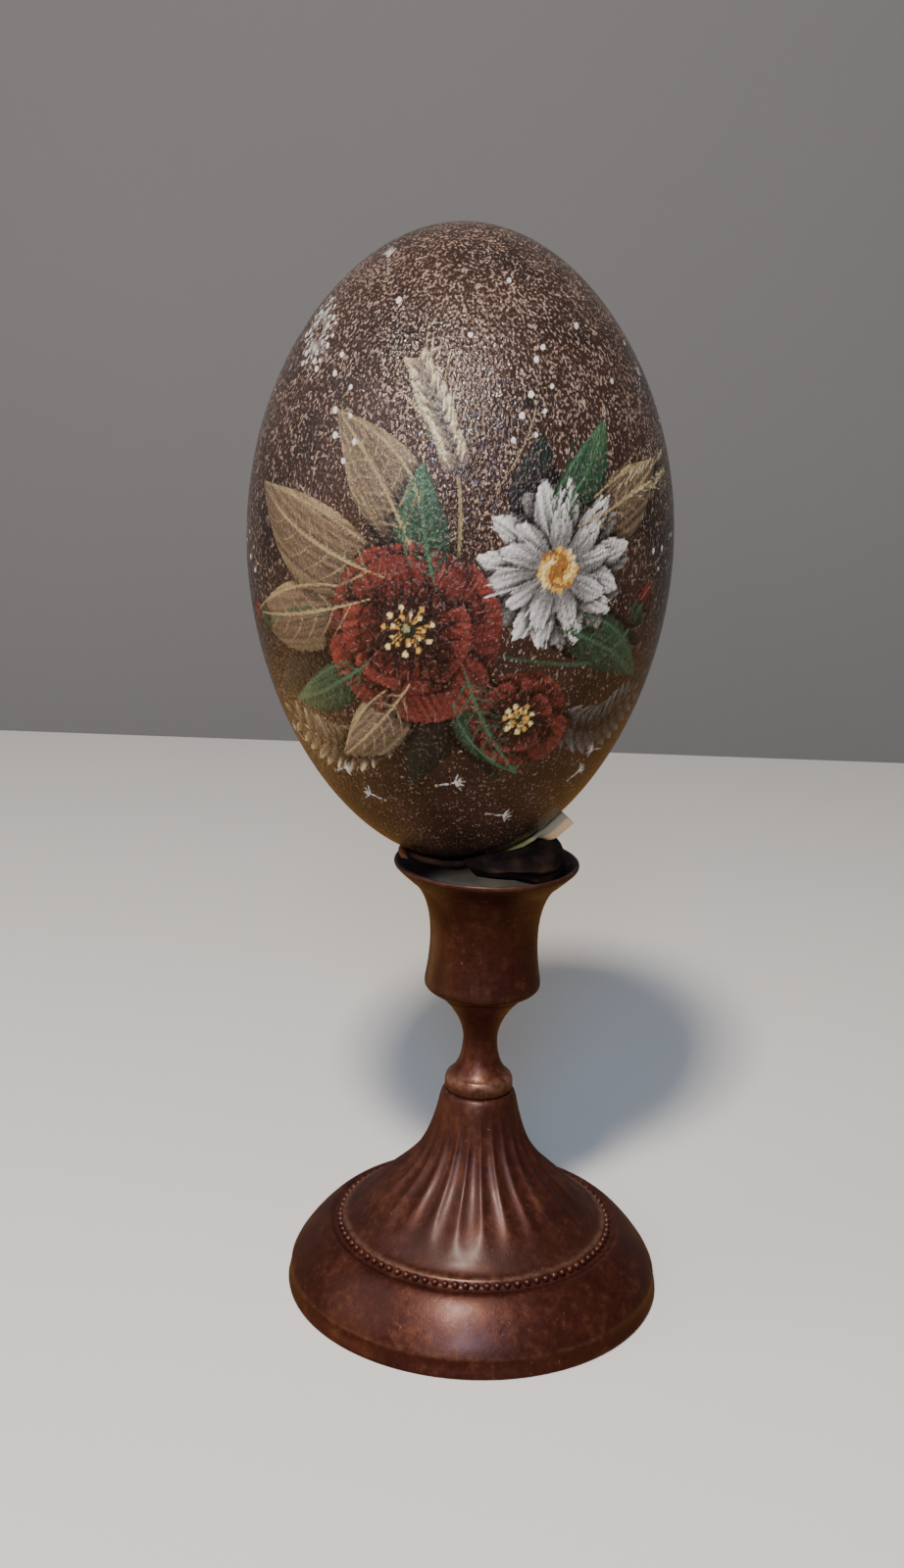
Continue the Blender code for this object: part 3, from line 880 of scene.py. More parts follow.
@dataclass
class Spray:
    """The painted flower spray: two blooms, buds, leaves, ears of grass and dotted sprigs."""

    body: Coat
    strokes: Coat
    seed: int = 11

    def next_seed(self) -> int:
        """A new seed for each shape, in order."""
        self.seed += 1
        return self.seed

    def leaf(
        self, x: float, y: float, angle: float, length: float, half: float, brush: Brush,
        belly: float = 1.0, blunt: float = 1.0, bend: float = 0.0, wave: float = 0.0,
    ) -> None:
        """A petal or leaf in body colour.

        Args:
            x: its root across.
            y: its root up.
            angle: its direction in degrees, 0 to the right and 90 up.
            length: root to tip.
            half: its half width.
            brush: its tones.
            belly: above 1 moves the widest part towards the tip.
            blunt: below 1 rounds the tip.
            bend: how far the middle line bows to its left.
            wave: how uneven the outline is.
        """
        seed = self.next_seed()
        coat = self.body
        a = math.radians(angle)
        near = coat.near(*beyond(x, y, angle, 0.5 * length), 0.5 * length + half + 2.0)
        dx, dy = coat.across[near] - x, coat.up[near] - y
        run = dx * math.cos(a) + dy * math.sin(a)
        u = run / length
        inside = np.clip(u, 0.0, 1.0)
        w = -dx * math.sin(a) + dy * math.cos(a) - bend * 4.0 * inside * (1.0 - inside)
        outline = np.sin(math.pi * inside**belly) ** blunt * half
        outline = outline * (1.0 + wave * ripple(u * 7.0, np.sign(w) * 3.0, seed + 900))
        past = np.abs(u - inside) * length
        distance = np.where(past > 0.0, np.hypot(past, w), (abs(w) - outline) * 0.85)
        side = np.clip(w / np.maximum(outline, 0.2), -1.0, 1.0)
        if half > 1.6:
            torn = 0.45 * (1.0 + ripple(w * 5.0, inside * 4.0, seed + 300))
            distance = distance + torn * step(0.55, 1.0, inside)
        colour = brush.colour(inside, w, side, seed) * (1.0 + 0.50 * lit(angle) * side)[:, None]
        coat.shade(near, distance, 0.85, min(2.6, 0.5 * half + 0.3))
        coat.lay(near, distance, np.clip(colour, 0.0, 1.0))

    def stroke(
        self, coat: Coat, points: Sequence[Spot | np.ndarray], half: float, tint: Tint,
        end: Tint | None = None, thin: float = 0.25,
    ) -> None:
        """A line drawn with the point of the brush, through a smooth curve of 2 to 4 points.

        Args:
            coat: where it is painted.
            points: the ends, with the pull points between them.
            half: its half width at its fullest.
            tint: its colour.
            end: the colour that it turns to.
            thin: its width at the ends, as a share.
        """
        controls = list(points)
        if len(controls) == 2:
            controls = [controls[0], controls[0], controls[1], controls[1]]
        if len(controls) == 3:
            controls = [controls[0], controls[1], controls[1], controls[2]]
        line = np.array(cubic(*controls, steps=16))
        centre = line.mean(axis=0)
        reach = float(np.abs(line - centre).max()) + half + 2.0
        near = coat.near(centre[0], centre[1], reach)
        place = np.stack([coat.across[near], coat.up[near]], axis=1)
        best = np.full(len(near), 99.0)
        share = np.zeros(len(near))
        for i, (a, b) in enumerate(zip(line, line[1:])):
            run = b - a
            t = np.clip(((place - a) @ run) / max(float(run @ run), 1e-9), 0.0, 1.0)
            gap = np.linalg.norm(place - a - t[:, None] * run, axis=1)
            closer = gap < best
            best[closer] = gap[closer]
            share[closer] = ((i + t) / (len(line) - 1))[closer]
        full = thin + (1.0 - thin) * np.sin(math.pi * share) ** 0.6
        seed = self.next_seed()
        uneven = 1.0 + 0.25 * ripple(share * 14.0, share, seed)
        colour = np.tile(np.array(tint.value), (len(near), 1))
        colour = mixed(colour, end or tint, share)
        colour = colour * (1.0 + 0.18 * ripple(share * 20.0, best, seed))[:, None]
        coat.lay(near, best - half * full * uneven, colour)

    def dot(self, coat: Coat, x: float, y: float, radius: float, tint: Tint) -> None:
        """A dab of the brush's tip."""
        near = coat.near(x, y, radius + 2.0)
        distance = np.hypot(coat.across[near] - x, (coat.up[near] - y) * 0.9) - radius
        coat.lay(near, distance, np.tile(np.array(tint.value), (len(near), 1)))

    def bristles(
        self, x: float, y: float, angle: float, length: float, half: float, tint: Tint, end: Tint,
        count: int, start: float, stop: float, width: float = 0.2,
    ) -> None:
        """Fine strokes fanned along a petal, as the brush's hairs leave them.

        Args:
            x: the petal's root across.
            y: the petal's root up.
            angle: its direction in degrees.
            length: root to tip.
            half: its half width.
            tint: their colour at the root.
            end: their colour at the tip.
            count: how many.
            start: where they start, as a share of the length.
            stop: where they stop.
            width: their half width.
        """
        run, side = heading(angle)
        for i in range(count):
            lean = (i + 0.5) / count - 0.5
            uneven = math.sin(7.3 * i + angle)
            first = run * length * (start + 0.06 * uneven) + side * half * lean * 1.1
            far = stop - 0.10 * abs(lean) * 2.0 + 0.07 * uneven
            last = run * length * far + side * half * lean * 1.6
            ends = [(x + first[0], y + first[1]), (x + last[0], y + last[1])]
            self.stroke(self.strokes, ends, width, tint, end, thin=0.1)

    def rose(self, x: float, y: float, size: float, turn: float = 0.0) -> None:
        """The red bloom: wide ragged petals, paler at their tips, round a gold eye."""
        outer = Brush(Tint.INK, Tint.MAROON, Tint.BRICK, Tint.BRICK, 0.55, 0.45, 1.0)
        inner = Brush(Tint.INK, Tint.MAROON_DEEP, Tint.MAROON, Tint.BRICK, 0.25, 0.45, 0.8)
        rings = [(5, 1.0, 0.60, outer, 12.0), (5, 0.75, 0.47, outer, 48.0), (4, 0.49, 0.35, inner, 5.0)]
        for ring, (count, reach, half, brush, start) in enumerate(rings):
            for i in range(count):
                angle = turn + start + 360.0 * i / count + 9.0 * math.sin(3.1 * i + ring)
                length = size * reach * (1.0 + 0.10 * math.sin(5.3 * i + 2.0 * ring))
                wide = size * half * (1.0 + 0.10 * math.sin(4.1 * i + ring))
                self.leaf(x, y, angle, length, wide, brush, belly=2.0, blunt=0.58, wave=0.07)
                dark, pale = (Tint.INK, Tint.MAROON_DEEP), (Tint.BRICK, Tint.BLUSH)
                self.bristles(x, y, angle, length, wide, *dark, 5, 0.15, 0.58, 0.22)
                self.bristles(x, y, angle + 4.0, length, wide, *pale, 3, 0.78, 0.96, 0.16)
        for i in range(18):
            reach = size * (0.17 + 0.09 * (i % 2) + 0.02 * math.sin(7.0 * i))
            end = beyond(x, y, 20.0 * i + 6.0 * math.sin(4.0 * i), reach)
            self.stroke(self.strokes, [(x, y), end], 0.17, Tint.GOLD_DEEP, Tint.GOLD)
            tint = Tint.STRAW if i % 3 else Tint.GOLD
            self.dot(self.strokes, *end, 0.44 + 0.12 * math.sin(3.0 * i), tint)
        self.dot(self.strokes, x, y, size * 0.085, Tint.GREEN_DEEP)
        self.dot(self.strokes, x - 0.3, y + 0.4, size * 0.04, Tint.OLIVE)

    def daisy(self, x: float, y: float, size: float) -> None:
        """The grey-white bloom: three rings of narrow petals round a domed gold eye."""
        under = Brush(Tint.INK, Tint.GREY_DEEP, Tint.GREY, Tint.GREY, 0.4, 0.40, 0.7)
        over = Brush(Tint.GREY_DEEP, Tint.GREY, Tint.WHITE, Tint.GREY, 0.4, 0.38, 0.7)
        rings = [(13, 1.0, 0.165, under, 4.0), (12, 0.95, 0.150, over, 19.0), (9, 0.66, 0.13, over, 8.0)]
        for ring, (count, reach, half, brush, start) in enumerate(rings):
            for i in range(count):
                angle = start + 360.0 * i / count + 7.0 * math.sin(2.3 * i + 4.0 * ring)
                length = size * reach * (1.0 + 0.10 * math.sin(6.1 * i + ring))
                wide, bend = size * half, 0.8 * math.sin(3.0 * i)
                self.leaf(x, y, angle, length, wide, brush, 1.5, 0.70, bend, 0.08)
                dark, pale = (Tint.GREY_DEEP, Tint.GREY), (Tint.GREY, Tint.WHITE)
                self.bristles(x, y, angle, length, wide, *dark, 2, 0.22, 0.60, 0.18)
                if ring:
                    self.bristles(x, y, angle + 2.0, length, wide, *pale, 2, 0.45, 0.93, 0.24)
        golds = (Tint.GOLD_DEEP, Tint.GOLD, Tint.STRAW, Tint.GOLD)
        for i in range(60):
            reach = size * 0.23 * math.sqrt((i + 0.5) / 60.0)
            tint = golds[i % 4] if i > 12 else Tint.GOLD_DEEP
            coat = self.body if i < 30 else self.strokes
            self.dot(coat, *beyond(x, y, SEED_TURN * i, reach), 0.55, tint)

    def veined(
        self, x: float, y: float, angle: float, length: float, half: float, brush: Brush,
        vein: Tint, bend: float = 0.0, veins: int = 6, wave: float = 0.08,
    ) -> None:
        """A broad leaf with a middle rib, side veins and a light along one edge.

        Args:
            x: its root across.
            y: its root up.
            angle: its direction in degrees.
            length: root to tip.
            half: its half width.
            brush: its tones.
            vein: the veins' colour.
            bend: how far the middle line bows to its left.
            veins: pairs of side veins.
            wave: how uneven the outline is.
        """
        self.leaf(x, y, angle, length, half, brush, belly=0.85, bend=bend, wave=wave)
        self.bristles(x, y, angle + 3.0, length, half, Tint.INK, brush.body, 5, 0.10, 0.72, 0.26)
        run, side = heading(angle)
        root = np.array([x, y])

        def at(share: float, out: float) -> Spot:
            """A place in the leaf: a share of its length, and of its half width to the left."""
            wide = out * half * math.sin(math.pi * share**0.85)
            bow = 4.0 * bend * share * (1.0 - share)
            return tuple(root + run * length * share + side * (wide + bow))

        rib = [at(share, 0.0) for share in (0.0, 0.35, 0.65, 0.93)]
        self.stroke(self.strokes, rib, 0.34, vein, thin=0.4)
        for i in range(veins):
            share = 0.12 + 0.68 * i / veins
            for out in (-0.84, 0.84):
                branch = [at(share, 0.0), at(share + 0.05, out * 0.5), at(share + 0.15, out)]
                self.stroke(self.strokes, branch, 0.20, vein, brush.body, thin=0.3)
        bright = 1.0 if lit(angle) > 0.0 else -1.0
        edge = [at(0.18, bright * 0.9), at(0.42, bright * 0.97), at(0.70, bright * 0.95), at(0.97, 0.0)]
        self.stroke(self.strokes, edge, 0.30, vein, thin=0.2)

    def bud(self, x: float, y: float, angle: float, size: float) -> None:
        """A closed red bud in its green cup."""
        red = Brush(Tint.MAROON_DEEP, Tint.MAROON, Tint.BRICK, Tint.BLUSH, 0.25, 0.3, 0.8)
        green = Brush(Tint.GREEN_DEEP, Tint.GREEN, Tint.GREEN_LIT, Tint.GREEN, streak=0.25)
        for turn, share in ((-14.0, 0.9), (13.0, 0.92), (0.0, 1.0)):
            self.leaf(x, y, angle + turn, size * share, size * 0.24, red, belly=1.1, blunt=0.8)
        for turn in (-30.0, 30.0, 2.0):
            self.leaf(x, y, angle + turn, size * 0.52, size * 0.12, green)
        tip = beyond(x, y, angle, 0.9 * size)
        middle = beyond(x, y, angle + math.degrees(0.25), 0.5 * size)
        self.stroke(self.strokes, [middle, tip], 0.20, Tint.BLUSH)

    def ear(self, root: Spot, pull: Spot, tip: Spot, grains: int, size: float) -> None:
        """An ear of grass: a bowed stem with paired grains and fine beards.

        Args:
            root: where the stem starts.
            pull: where it bows towards.
            tip: the ear's tip.
            grains: pairs of grains.
            size: one grain's length.
        """
        grain = Brush(Tint.TAN_DEEP, Tint.TAN, Tint.CREAM, Tint.TAN, 0.5, 0.30, 0.6)
        self.stroke(self.body, [root, pull, tip], 0.34, Tint.OLIVE, Tint.TAN, thin=0.7)
        line = np.array(cubic(root, pull, pull, tip, steps=60))
        for i in range(grains):
            at = int(60 - (i + 0.4) * 27 / grains)
            here, ahead = line[at], line[min(at + 1, 60)] - line[max(at - 1, 0)]
            angle = math.degrees(math.atan2(ahead[1], ahead[0]))
            for side in (-1.0, 1.0):
                turn = angle + side * (24.0 + 2.5 * math.sin(5.0 * i))
                length = size * (0.72 + 0.28 * math.sin(math.pi * (i + 1.0) / (grains + 1.0)))
                self.leaf(*here, turn, length, size * 0.20, grain, belly=0.85)
                self._grain_light(here, turn, length, side)

    def _grain_light(self, root: np.ndarray, angle: float, length: float, side: float) -> None:
        """The cream light along a grain and the beard beyond its tip."""
        run, left = heading(angle)
        out = left * side
        light = [root + run * length * 0.25 + out * 0.35, root + run * length * 0.85 + out * 0.22]
        self.stroke(self.strokes, light, 0.19, Tint.CREAM)
        beard = [root + run * length * 0.95, root + run * length * 1.75 + out * length * 0.10]
        self.stroke(self.strokes, beard, 0.13, Tint.OLIVE, Tint.CREAM)

    def frond(self, root: Spot, pull: Spot, tip: Spot, pairs: int, size: float, brush: Brush) -> None:
        """A fern: leaflets in pairs along a bowed stem, shorter towards its tip."""
        self.stroke(self.body, [root, pull, tip], 0.32, brush.root, brush.tip, thin=0.5)
        line = np.array(cubic(root, pull, pull, tip, steps=60))
        for i in range(pairs):
            at = int(8 + i * 50 / pairs)
            here, ahead = line[at], line[at + 1] - line[at - 1]
            angle = math.degrees(math.atan2(ahead[1], ahead[0]))
            swell = 0.45 + 0.60 * math.sin(math.pi * (0.25 + 0.72 * (1.0 - i / pairs)))
            length = size * swell * (1.0 - 0.45 * i / pairs)
            for side in (-1.0, 1.0):
                self.leaf(*here, angle + side * 52.0, length, length * 0.17, brush, belly=0.9)
        self.leaf(*line[57], angle, size * 0.5, size * 0.09, brush)

    def sprig(self, root: Spot, tip: Spot, lean: float, dots: int) -> None:
        """A hair-thin stem with white dots on short stalks."""
        start, end = np.array(root), np.array(tip)
        run = end - start
        out = np.array([-run[1], run[0]]) * lean
        pull = 0.5 * (start + end) + out
        self.stroke(self.strokes, [root, tuple(pull), tip], 0.15, Tint.OLIVE, Tint.GREY)
        line = np.array(cubic(root, tuple(pull), tuple(pull), tip, steps=40))
        ahead = run / np.linalg.norm(run)
        left = np.array([-run[1], run[0]]) / np.linalg.norm(run)
        for i in range(dots):
            here = away = line[int(40 - 30 * i / dots)]
            if i:
                side = left * (1.0 if i % 2 else -1.0)
                away = here + side * (1.9 + 0.5 * math.sin(4.0 * i)) + ahead * 1.5
                self.stroke(self.strokes, [here, away], 0.12, Tint.OLIVE)
            self.dot(self.strokes, *away, 0.52 + 0.10 * math.sin(9.0 * i), Tint.WHITE)

    def clock(self, x: float, y: float, size: float) -> None:
        """A seed head: many white hairs from one point, each with a dab at its end."""
        for i in range(46):
            turn = math.radians(SEED_TURN * i)
            reach = size * math.sqrt((i + 6.0) / 52.0)
            end = (x + reach * math.cos(turn), y + 1.15 * reach * math.sin(turn))
            near = (x + 0.35 * reach * math.cos(turn), y + 0.40 * reach * math.sin(turn))
            self.stroke(self.strokes, [near, end], 0.13, Tint.GREY, Tint.WHITE)
            self.dot(self.strokes, *end, 0.30 + 0.12 * (i % 3), Tint.WHITE)

    def adrift(self, x: float, y: float, angle: float) -> None:
        """A single seed blown from the head: a stalk with a fan of hairs."""
        top = beyond(x, y, angle, 3.6)
        self.stroke(self.strokes, [(x, y), top], 0.22, Tint.GREY, Tint.WHITE, thin=0.5)
        for lean in (-62.0, -30.0, 0.0, 28.0, 58.0):
            hair = [top, beyond(*top, angle + lean, 2.3)]
            self.stroke(self.strokes, hair, 0.20, Tint.WHITE, Tint.GREY)
        self.dot(self.strokes, x, y, 0.36, Tint.HAY)

    def paint(self) -> None:
        """Paint the whole spray, what lies behind first."""
        green = Brush(Tint.INK, Tint.GREEN, Tint.GREEN_LIT, Tint.GREEN_DEEP, 0.4, 0.35, 1.2)
        shade = Brush(Tint.INK, Tint.INK, Tint.GREEN_DEEP, Tint.INK, 0.3, 0.25, 1.0)
        dry = Brush(Tint.TAN_DEEP, Tint.TAN, Tint.TAN, Tint.HAY, 0.50, 0.60, 0.8)
        tan = Brush(Tint.TAN_DEEP, Tint.TAN, Tint.CREAM, Tint.OLIVE, 0.35, 0.40, 0.8)
        grey = Brush(Tint.INK, Tint.GREY_DEEP, Tint.GREY, Tint.GREY_DEEP, 0.3, 0.35, 0.8)
        self.frond((-2.0, -24.0), (-22.0, -38.0), (-42.0, -30.0), 11, 10.0, tan)
        self.frond((8.0, -20.0), (30.0, -34.0), (50.0, -22.0), 12, 10.0, grey)
        for x, y, angle, length, half in (
            (-2.0, -8.0, -72.0, 36.0, 6.0), (4.0, -12.0, -112.0, 34.0, 6.0), (-10.0, 0.0, 98.0, 26.0, 5.0),
            (12.0, -6.0, -14.0, 34.0, 6.0), (14.0, 6.0, 84.0, 22.0, 5.0), (-14.0, -12.0, 206.0, 34.0, 5.5),
        ):
            self.leaf(x, y, angle, length, half, shade, belly=0.85, wave=0.10)
        self.ear((0.0, -6.0), (2.0, 18.0), (-7.0, 38.0), 9, 7.2)
        self.ear((6.0, -6.0), (32.0, 16.0), (50.0, 20.0), 9, 7.0)
        for x, y, angle, length, half, bend in (
            (-16.0, -4.0, 190.0, 36.0, 7.2, 2.0), (-8.0, 6.0, 124.0, 30.0, 7.0, -2.2),
            (-12.0, 0.0, 155.0, 39.0, 8.4, 2.6), (24.0, 10.0, 26.0, 27.0, 6.2, -1.6),
            (-8.0, -20.0, -132.0, 24.0, 5.6, 1.6),
        ):
            self.veined(x, y, angle, length, half, dry, Tint.HAY, bend)
        for x, y, angle, length, half, bend in (
            (2.0, -16.0, -64.0, 27.0, 5.4, -2.0), (-16.0, -16.0, -152.0, 24.0, 4.8, 2.0),
            (18.0, -8.0, -28.0, 30.0, 5.4, 2.0), (18.0, 10.0, 58.0, 24.0, 4.8, -1.8),
            (-3.0, -2.0, 96.0, 25.0, 5.0, 2.0),
        ):
            self.veined(x, y, angle, length, half, green, Tint.GREEN_LIT, bend, wave=0.05)
        right = [(8.0, -14.0), (30.0, -18.0), (40.0, -10.0)]
        left = [(-14.0, -10.0), (-32.0, -6.0), (-44.0, -12.0)]
        self.stroke(self.body, right, 0.42, Tint.GREEN, Tint.GREEN_LIT, thin=0.6)
        self.bud(40.0, -10.5, 52.0, 11.0)
        self.bud(-44.0, -12.0, 168.0, 10.0)
        self.stroke(self.body, left, 0.42, Tint.GREEN, Tint.GREEN_LIT, thin=0.6)
        self.rose(13.0, -27.0, 10.5, 25.0)
        self.daisy(20.0, 2.0, 17.5)
        self.rose(-8.5, -9.5, 18.0)
        self.sprig((6.0, 14.0), (16.0, 42.0), -0.12, 8)
        self.sprig((-14.0, 10.0), (-24.0, 40.0), 0.10, 8)
        self.sprig((36.0, 2.0), (58.0, 6.0), -0.15, 6)
        self.sprig((-40.0, -2.0), (-60.0, 6.0), 0.12, 6)
        self.clock(-33.0, 44.0, 6.4)
        for x, y, r in (
            (-12.0, 50.0, 0.6), (2.0, 44.0, 0.5), (24.0, 46.0, 0.6), (33.0, 36.0, 0.5),
            (42.0, 43.0, 0.55), (-50.0, 33.0, 0.5), (9.0, 54.0, 0.45), (56.0, 28.0, 0.5),
            (88.0, 20.0, 0.5), (-96.0, 31.0, 0.5), (120.0, 8.0, 0.45),
        ):
            self.dot(self.strokes, x, y, r, Tint.WHITE)
        for x, y, angle in (
            (-27.0, -42.0, 20.0), (-14.0, -47.0, 164.0), (-3.0, -42.0, 12.0), (7.0, -49.0, -12.0),
            (26.0, -43.0, 30.0), (36.0, -37.0, 170.0), (-38.0, -37.0, 150.0), (44.0, 34.0, 60.0),
            (-15.0, 55.0, 110.0),
        ):
            self.adrift(x, y, angle)


@dataclass
class PaintedEgg:
    """The egg with its shell and painting."""

    form: EggForm = field(default_factory=EggForm)

    def build(self) -> bpy.types.Object:
        """Make, paint and dress the egg.

        Returns:
            The egg.
        """
        seed = plain_object("painted_egg", bpy.data.meshes.new("painted_egg"))
        egg = self.form.tree().run(seed)
        local = spots(egg) / MM
        across = np.hypot(local[:, 0], local[:, 1]) * np.arctan2(local[:, 0], -local[:, 1])
        body, strokes = Coat(across, local[:, 2]), Coat(across, local[:, 2])
        Spray(body, strokes).paint()
        for name, coat in (("body", body), ("stroke", strokes)):
            give_values(egg, f"{name}_cover", coat.cover)
            give_values(egg, f"{name}_paint", coat.paint)
            LOG.info("%s coat covers %.1f%% of the points", name, 100.0 * coat.wet())
        egg.data.transform(self.form.pose())
        fixed = {"Specular IOR Level": 0.5, "IOR": 1.5}
        return present(egg, ShellFinish("grained_painted_shell", fixed), "egg", 80.0)


COPPER = {"Specular IOR Level": 0.28, "Coat Weight": 0.17, "Coat Roughness": 0.30}


@dataclass
class Candlestick:
    """The stand: turned cup and stem, and the pressed foot."""

    axis_x: float = AXIS * MM
    steps: int = 160

    def copper(self, name: str, shade: float = 0.94) -> CopperFinish:
        """The stand's finish under a piece's own name.

        Args:
            name: the material's name.
            shade: below 1 darkens the patina.

        Returns:
            The finish.
        """
        full = {"deep": CopperFinish.deep, "middle": CopperFinish.middle, "warm": CopperFinish.warm}
        tones = {name: tuple(shade * c for c in tone) for name, tone in full.items()}
        return CopperFinish(name, COPPER, **tones)

    def marks(self, obj: bpy.types.Object, tin_and_light: np.ndarray, wear_and_highlight: np.ndarray, dirt_and_shade: np.ndarray) -> None:
        """Store where the metal gets its pale tinning and painted light, where it is worn or given a painted
        highlight, and where it is dirty or given painted shade.
        """
        give_values(obj, "tin_and_light", tin_and_light)
        give_values(obj, "wear_and_highlight", wear_and_highlight)
        give_values(obj, "dirt_and_shade", dirt_and_shade)

    def radius_height(self, obj: bpy.types.Object) -> tuple[np.ndarray, np.ndarray]:
        """Each point's distance from the axis and height, in millimetres."""
        points = spots(obj)
        return np.hypot(points[:, 0] - self.axis_x, points[:, 1]) / MM, points[:, 2] / MM


@dataclass
class CandleCup(Candlestick):
    """The flared socket under the egg."""

    socket_floor: float = 74.6
    socket_radius: float = 10.8
    bottom: float = 70.0
    hole: float = 3.3
    hole_top: float = 73.0

    def profile(self) -> Profile:
        """From the socket's floor up its wall and flare, over the lip and down the outside."""
        socket = [
            (0.0, self.socket_floor),
            (9.6, self.socket_floor),
            (self.socket_radius, self.socket_floor + 1.2),
        ]
        flare = cubic((10.8, 87.0), (11.2, 92.0), (13.6, 94.9), (15.9, 97.3), steps=12)
        lip = [(17.5, 99.1), (19.0, 100.75), (19.6, 101.3), (20.2, 101.25), (20.35, 100.6), (19.9, 99.9)]
        outside = cubic((16.7, 97.0), (13.0, 94.4), (10.5, 87.0), (12.87, 73.9), steps=26)
        bowl = cubic((12.9, 73.0), (13.0, 71.8), (11.4, 71.2), (9.6, 70.3), steps=8)
        under = [(9.3, self.bottom), (self.hole, self.bottom)]
        under += [(self.hole, self.hole_top), (0.0, self.hole_top)]
        return softened(socket + flare + lip + outside + bowl, 2) + under

    def build(self) -> bpy.types.Object:
        """Make and dress the cup."""
        cup = lathed("flared_cup", self.profile(), self.steps, self.axis_x)
        radius, height = self.radius_height(cup)
        outer = np.interp(
            height, [73.9, 80.0, 87.0, 94.0, 97.0, 101.3], [12.87, 12.1, 11.9, 13.9, 16.7, 20.3]
        )
        inner = step(0.2, 0.8, outer - radius) * step(86.0, 90.0, height)
        points = spots(cup)
        far = points[:, 1] / MM / np.maximum(radius, 1.0)
        # Painted light: a pale tinning colour on a band of the far inner wall, only where light reaches
        # through the mouth; partly the metal's own colour
        tin_and_light = inner * step(96.4, 93.4, height) * step(-0.10, 0.75, far)
        rim = step(99.8, 101.0, height)
        # Painted shade: a dark band at the groove where the bowl turns under
        crease_shade = bell(height, 73.5, 0.5) * 0.5
        # Painted shade darkens the cup's inside away from the lit band; the lip gets a faint pale line and a
        # darker band
        self.marks(cup, tin_and_light, rim * 0.10, np.clip(crease_shade + (inner - tin_and_light) * 0.9 + rim * 0.40, 0.0, 1.0))
        return present(cup, self.copper("cup_copper", 0.68), "candle_cup")


@dataclass
class Stem(Candlestick):
    """The waisted stem with its rounded collar."""

    def profile(self) -> Profile:
        """From the upper spigot down the waist to the collar and the lower spigot."""
        top = [(0.0, 72.7), (3.0, 72.7), (3.0, 69.95)]
        upper = cubic((9.1, 69.6), (6.2, 67.0), (3.6, 62.6), (3.85, 59.0), steps=16)
        lower = cubic((3.85, 59.0), (3.9, 57.0), (4.3, 53.4), (6.6, 51.3), steps=14)
        collar = [(7.2, 50.9), (7.55, 50.2), (7.68, 49.4), (7.70, 48.6), (7.70, 48.0), (7.5, 47.65)]
        bottom = [(3.0, 47.65), (3.0, 43.05), (0.0, 43.05)]
        return top + [(9.2, 69.95)] + softened(upper + lower[1:] + collar, 2) + bottom

    def build(self) -> bpy.types.Object:
        """Make and dress the stem."""
        stem = lathed("waisted_stem", self.profile(), self.steps, self.axis_x)
        _, height = self.radius_height(stem)
        nothing = np.zeros_like(height)
        dirt_and_shade = step(48.6, 47.8, height) * 0.7 + step(68.6, 69.5, height) * 0.5
        self.marks(stem, nothing, bell(height, 50.4, 1.2) * 0.5, dirt_and_shade)
        return present(stem, self.copper("stem_copper"), "stem")


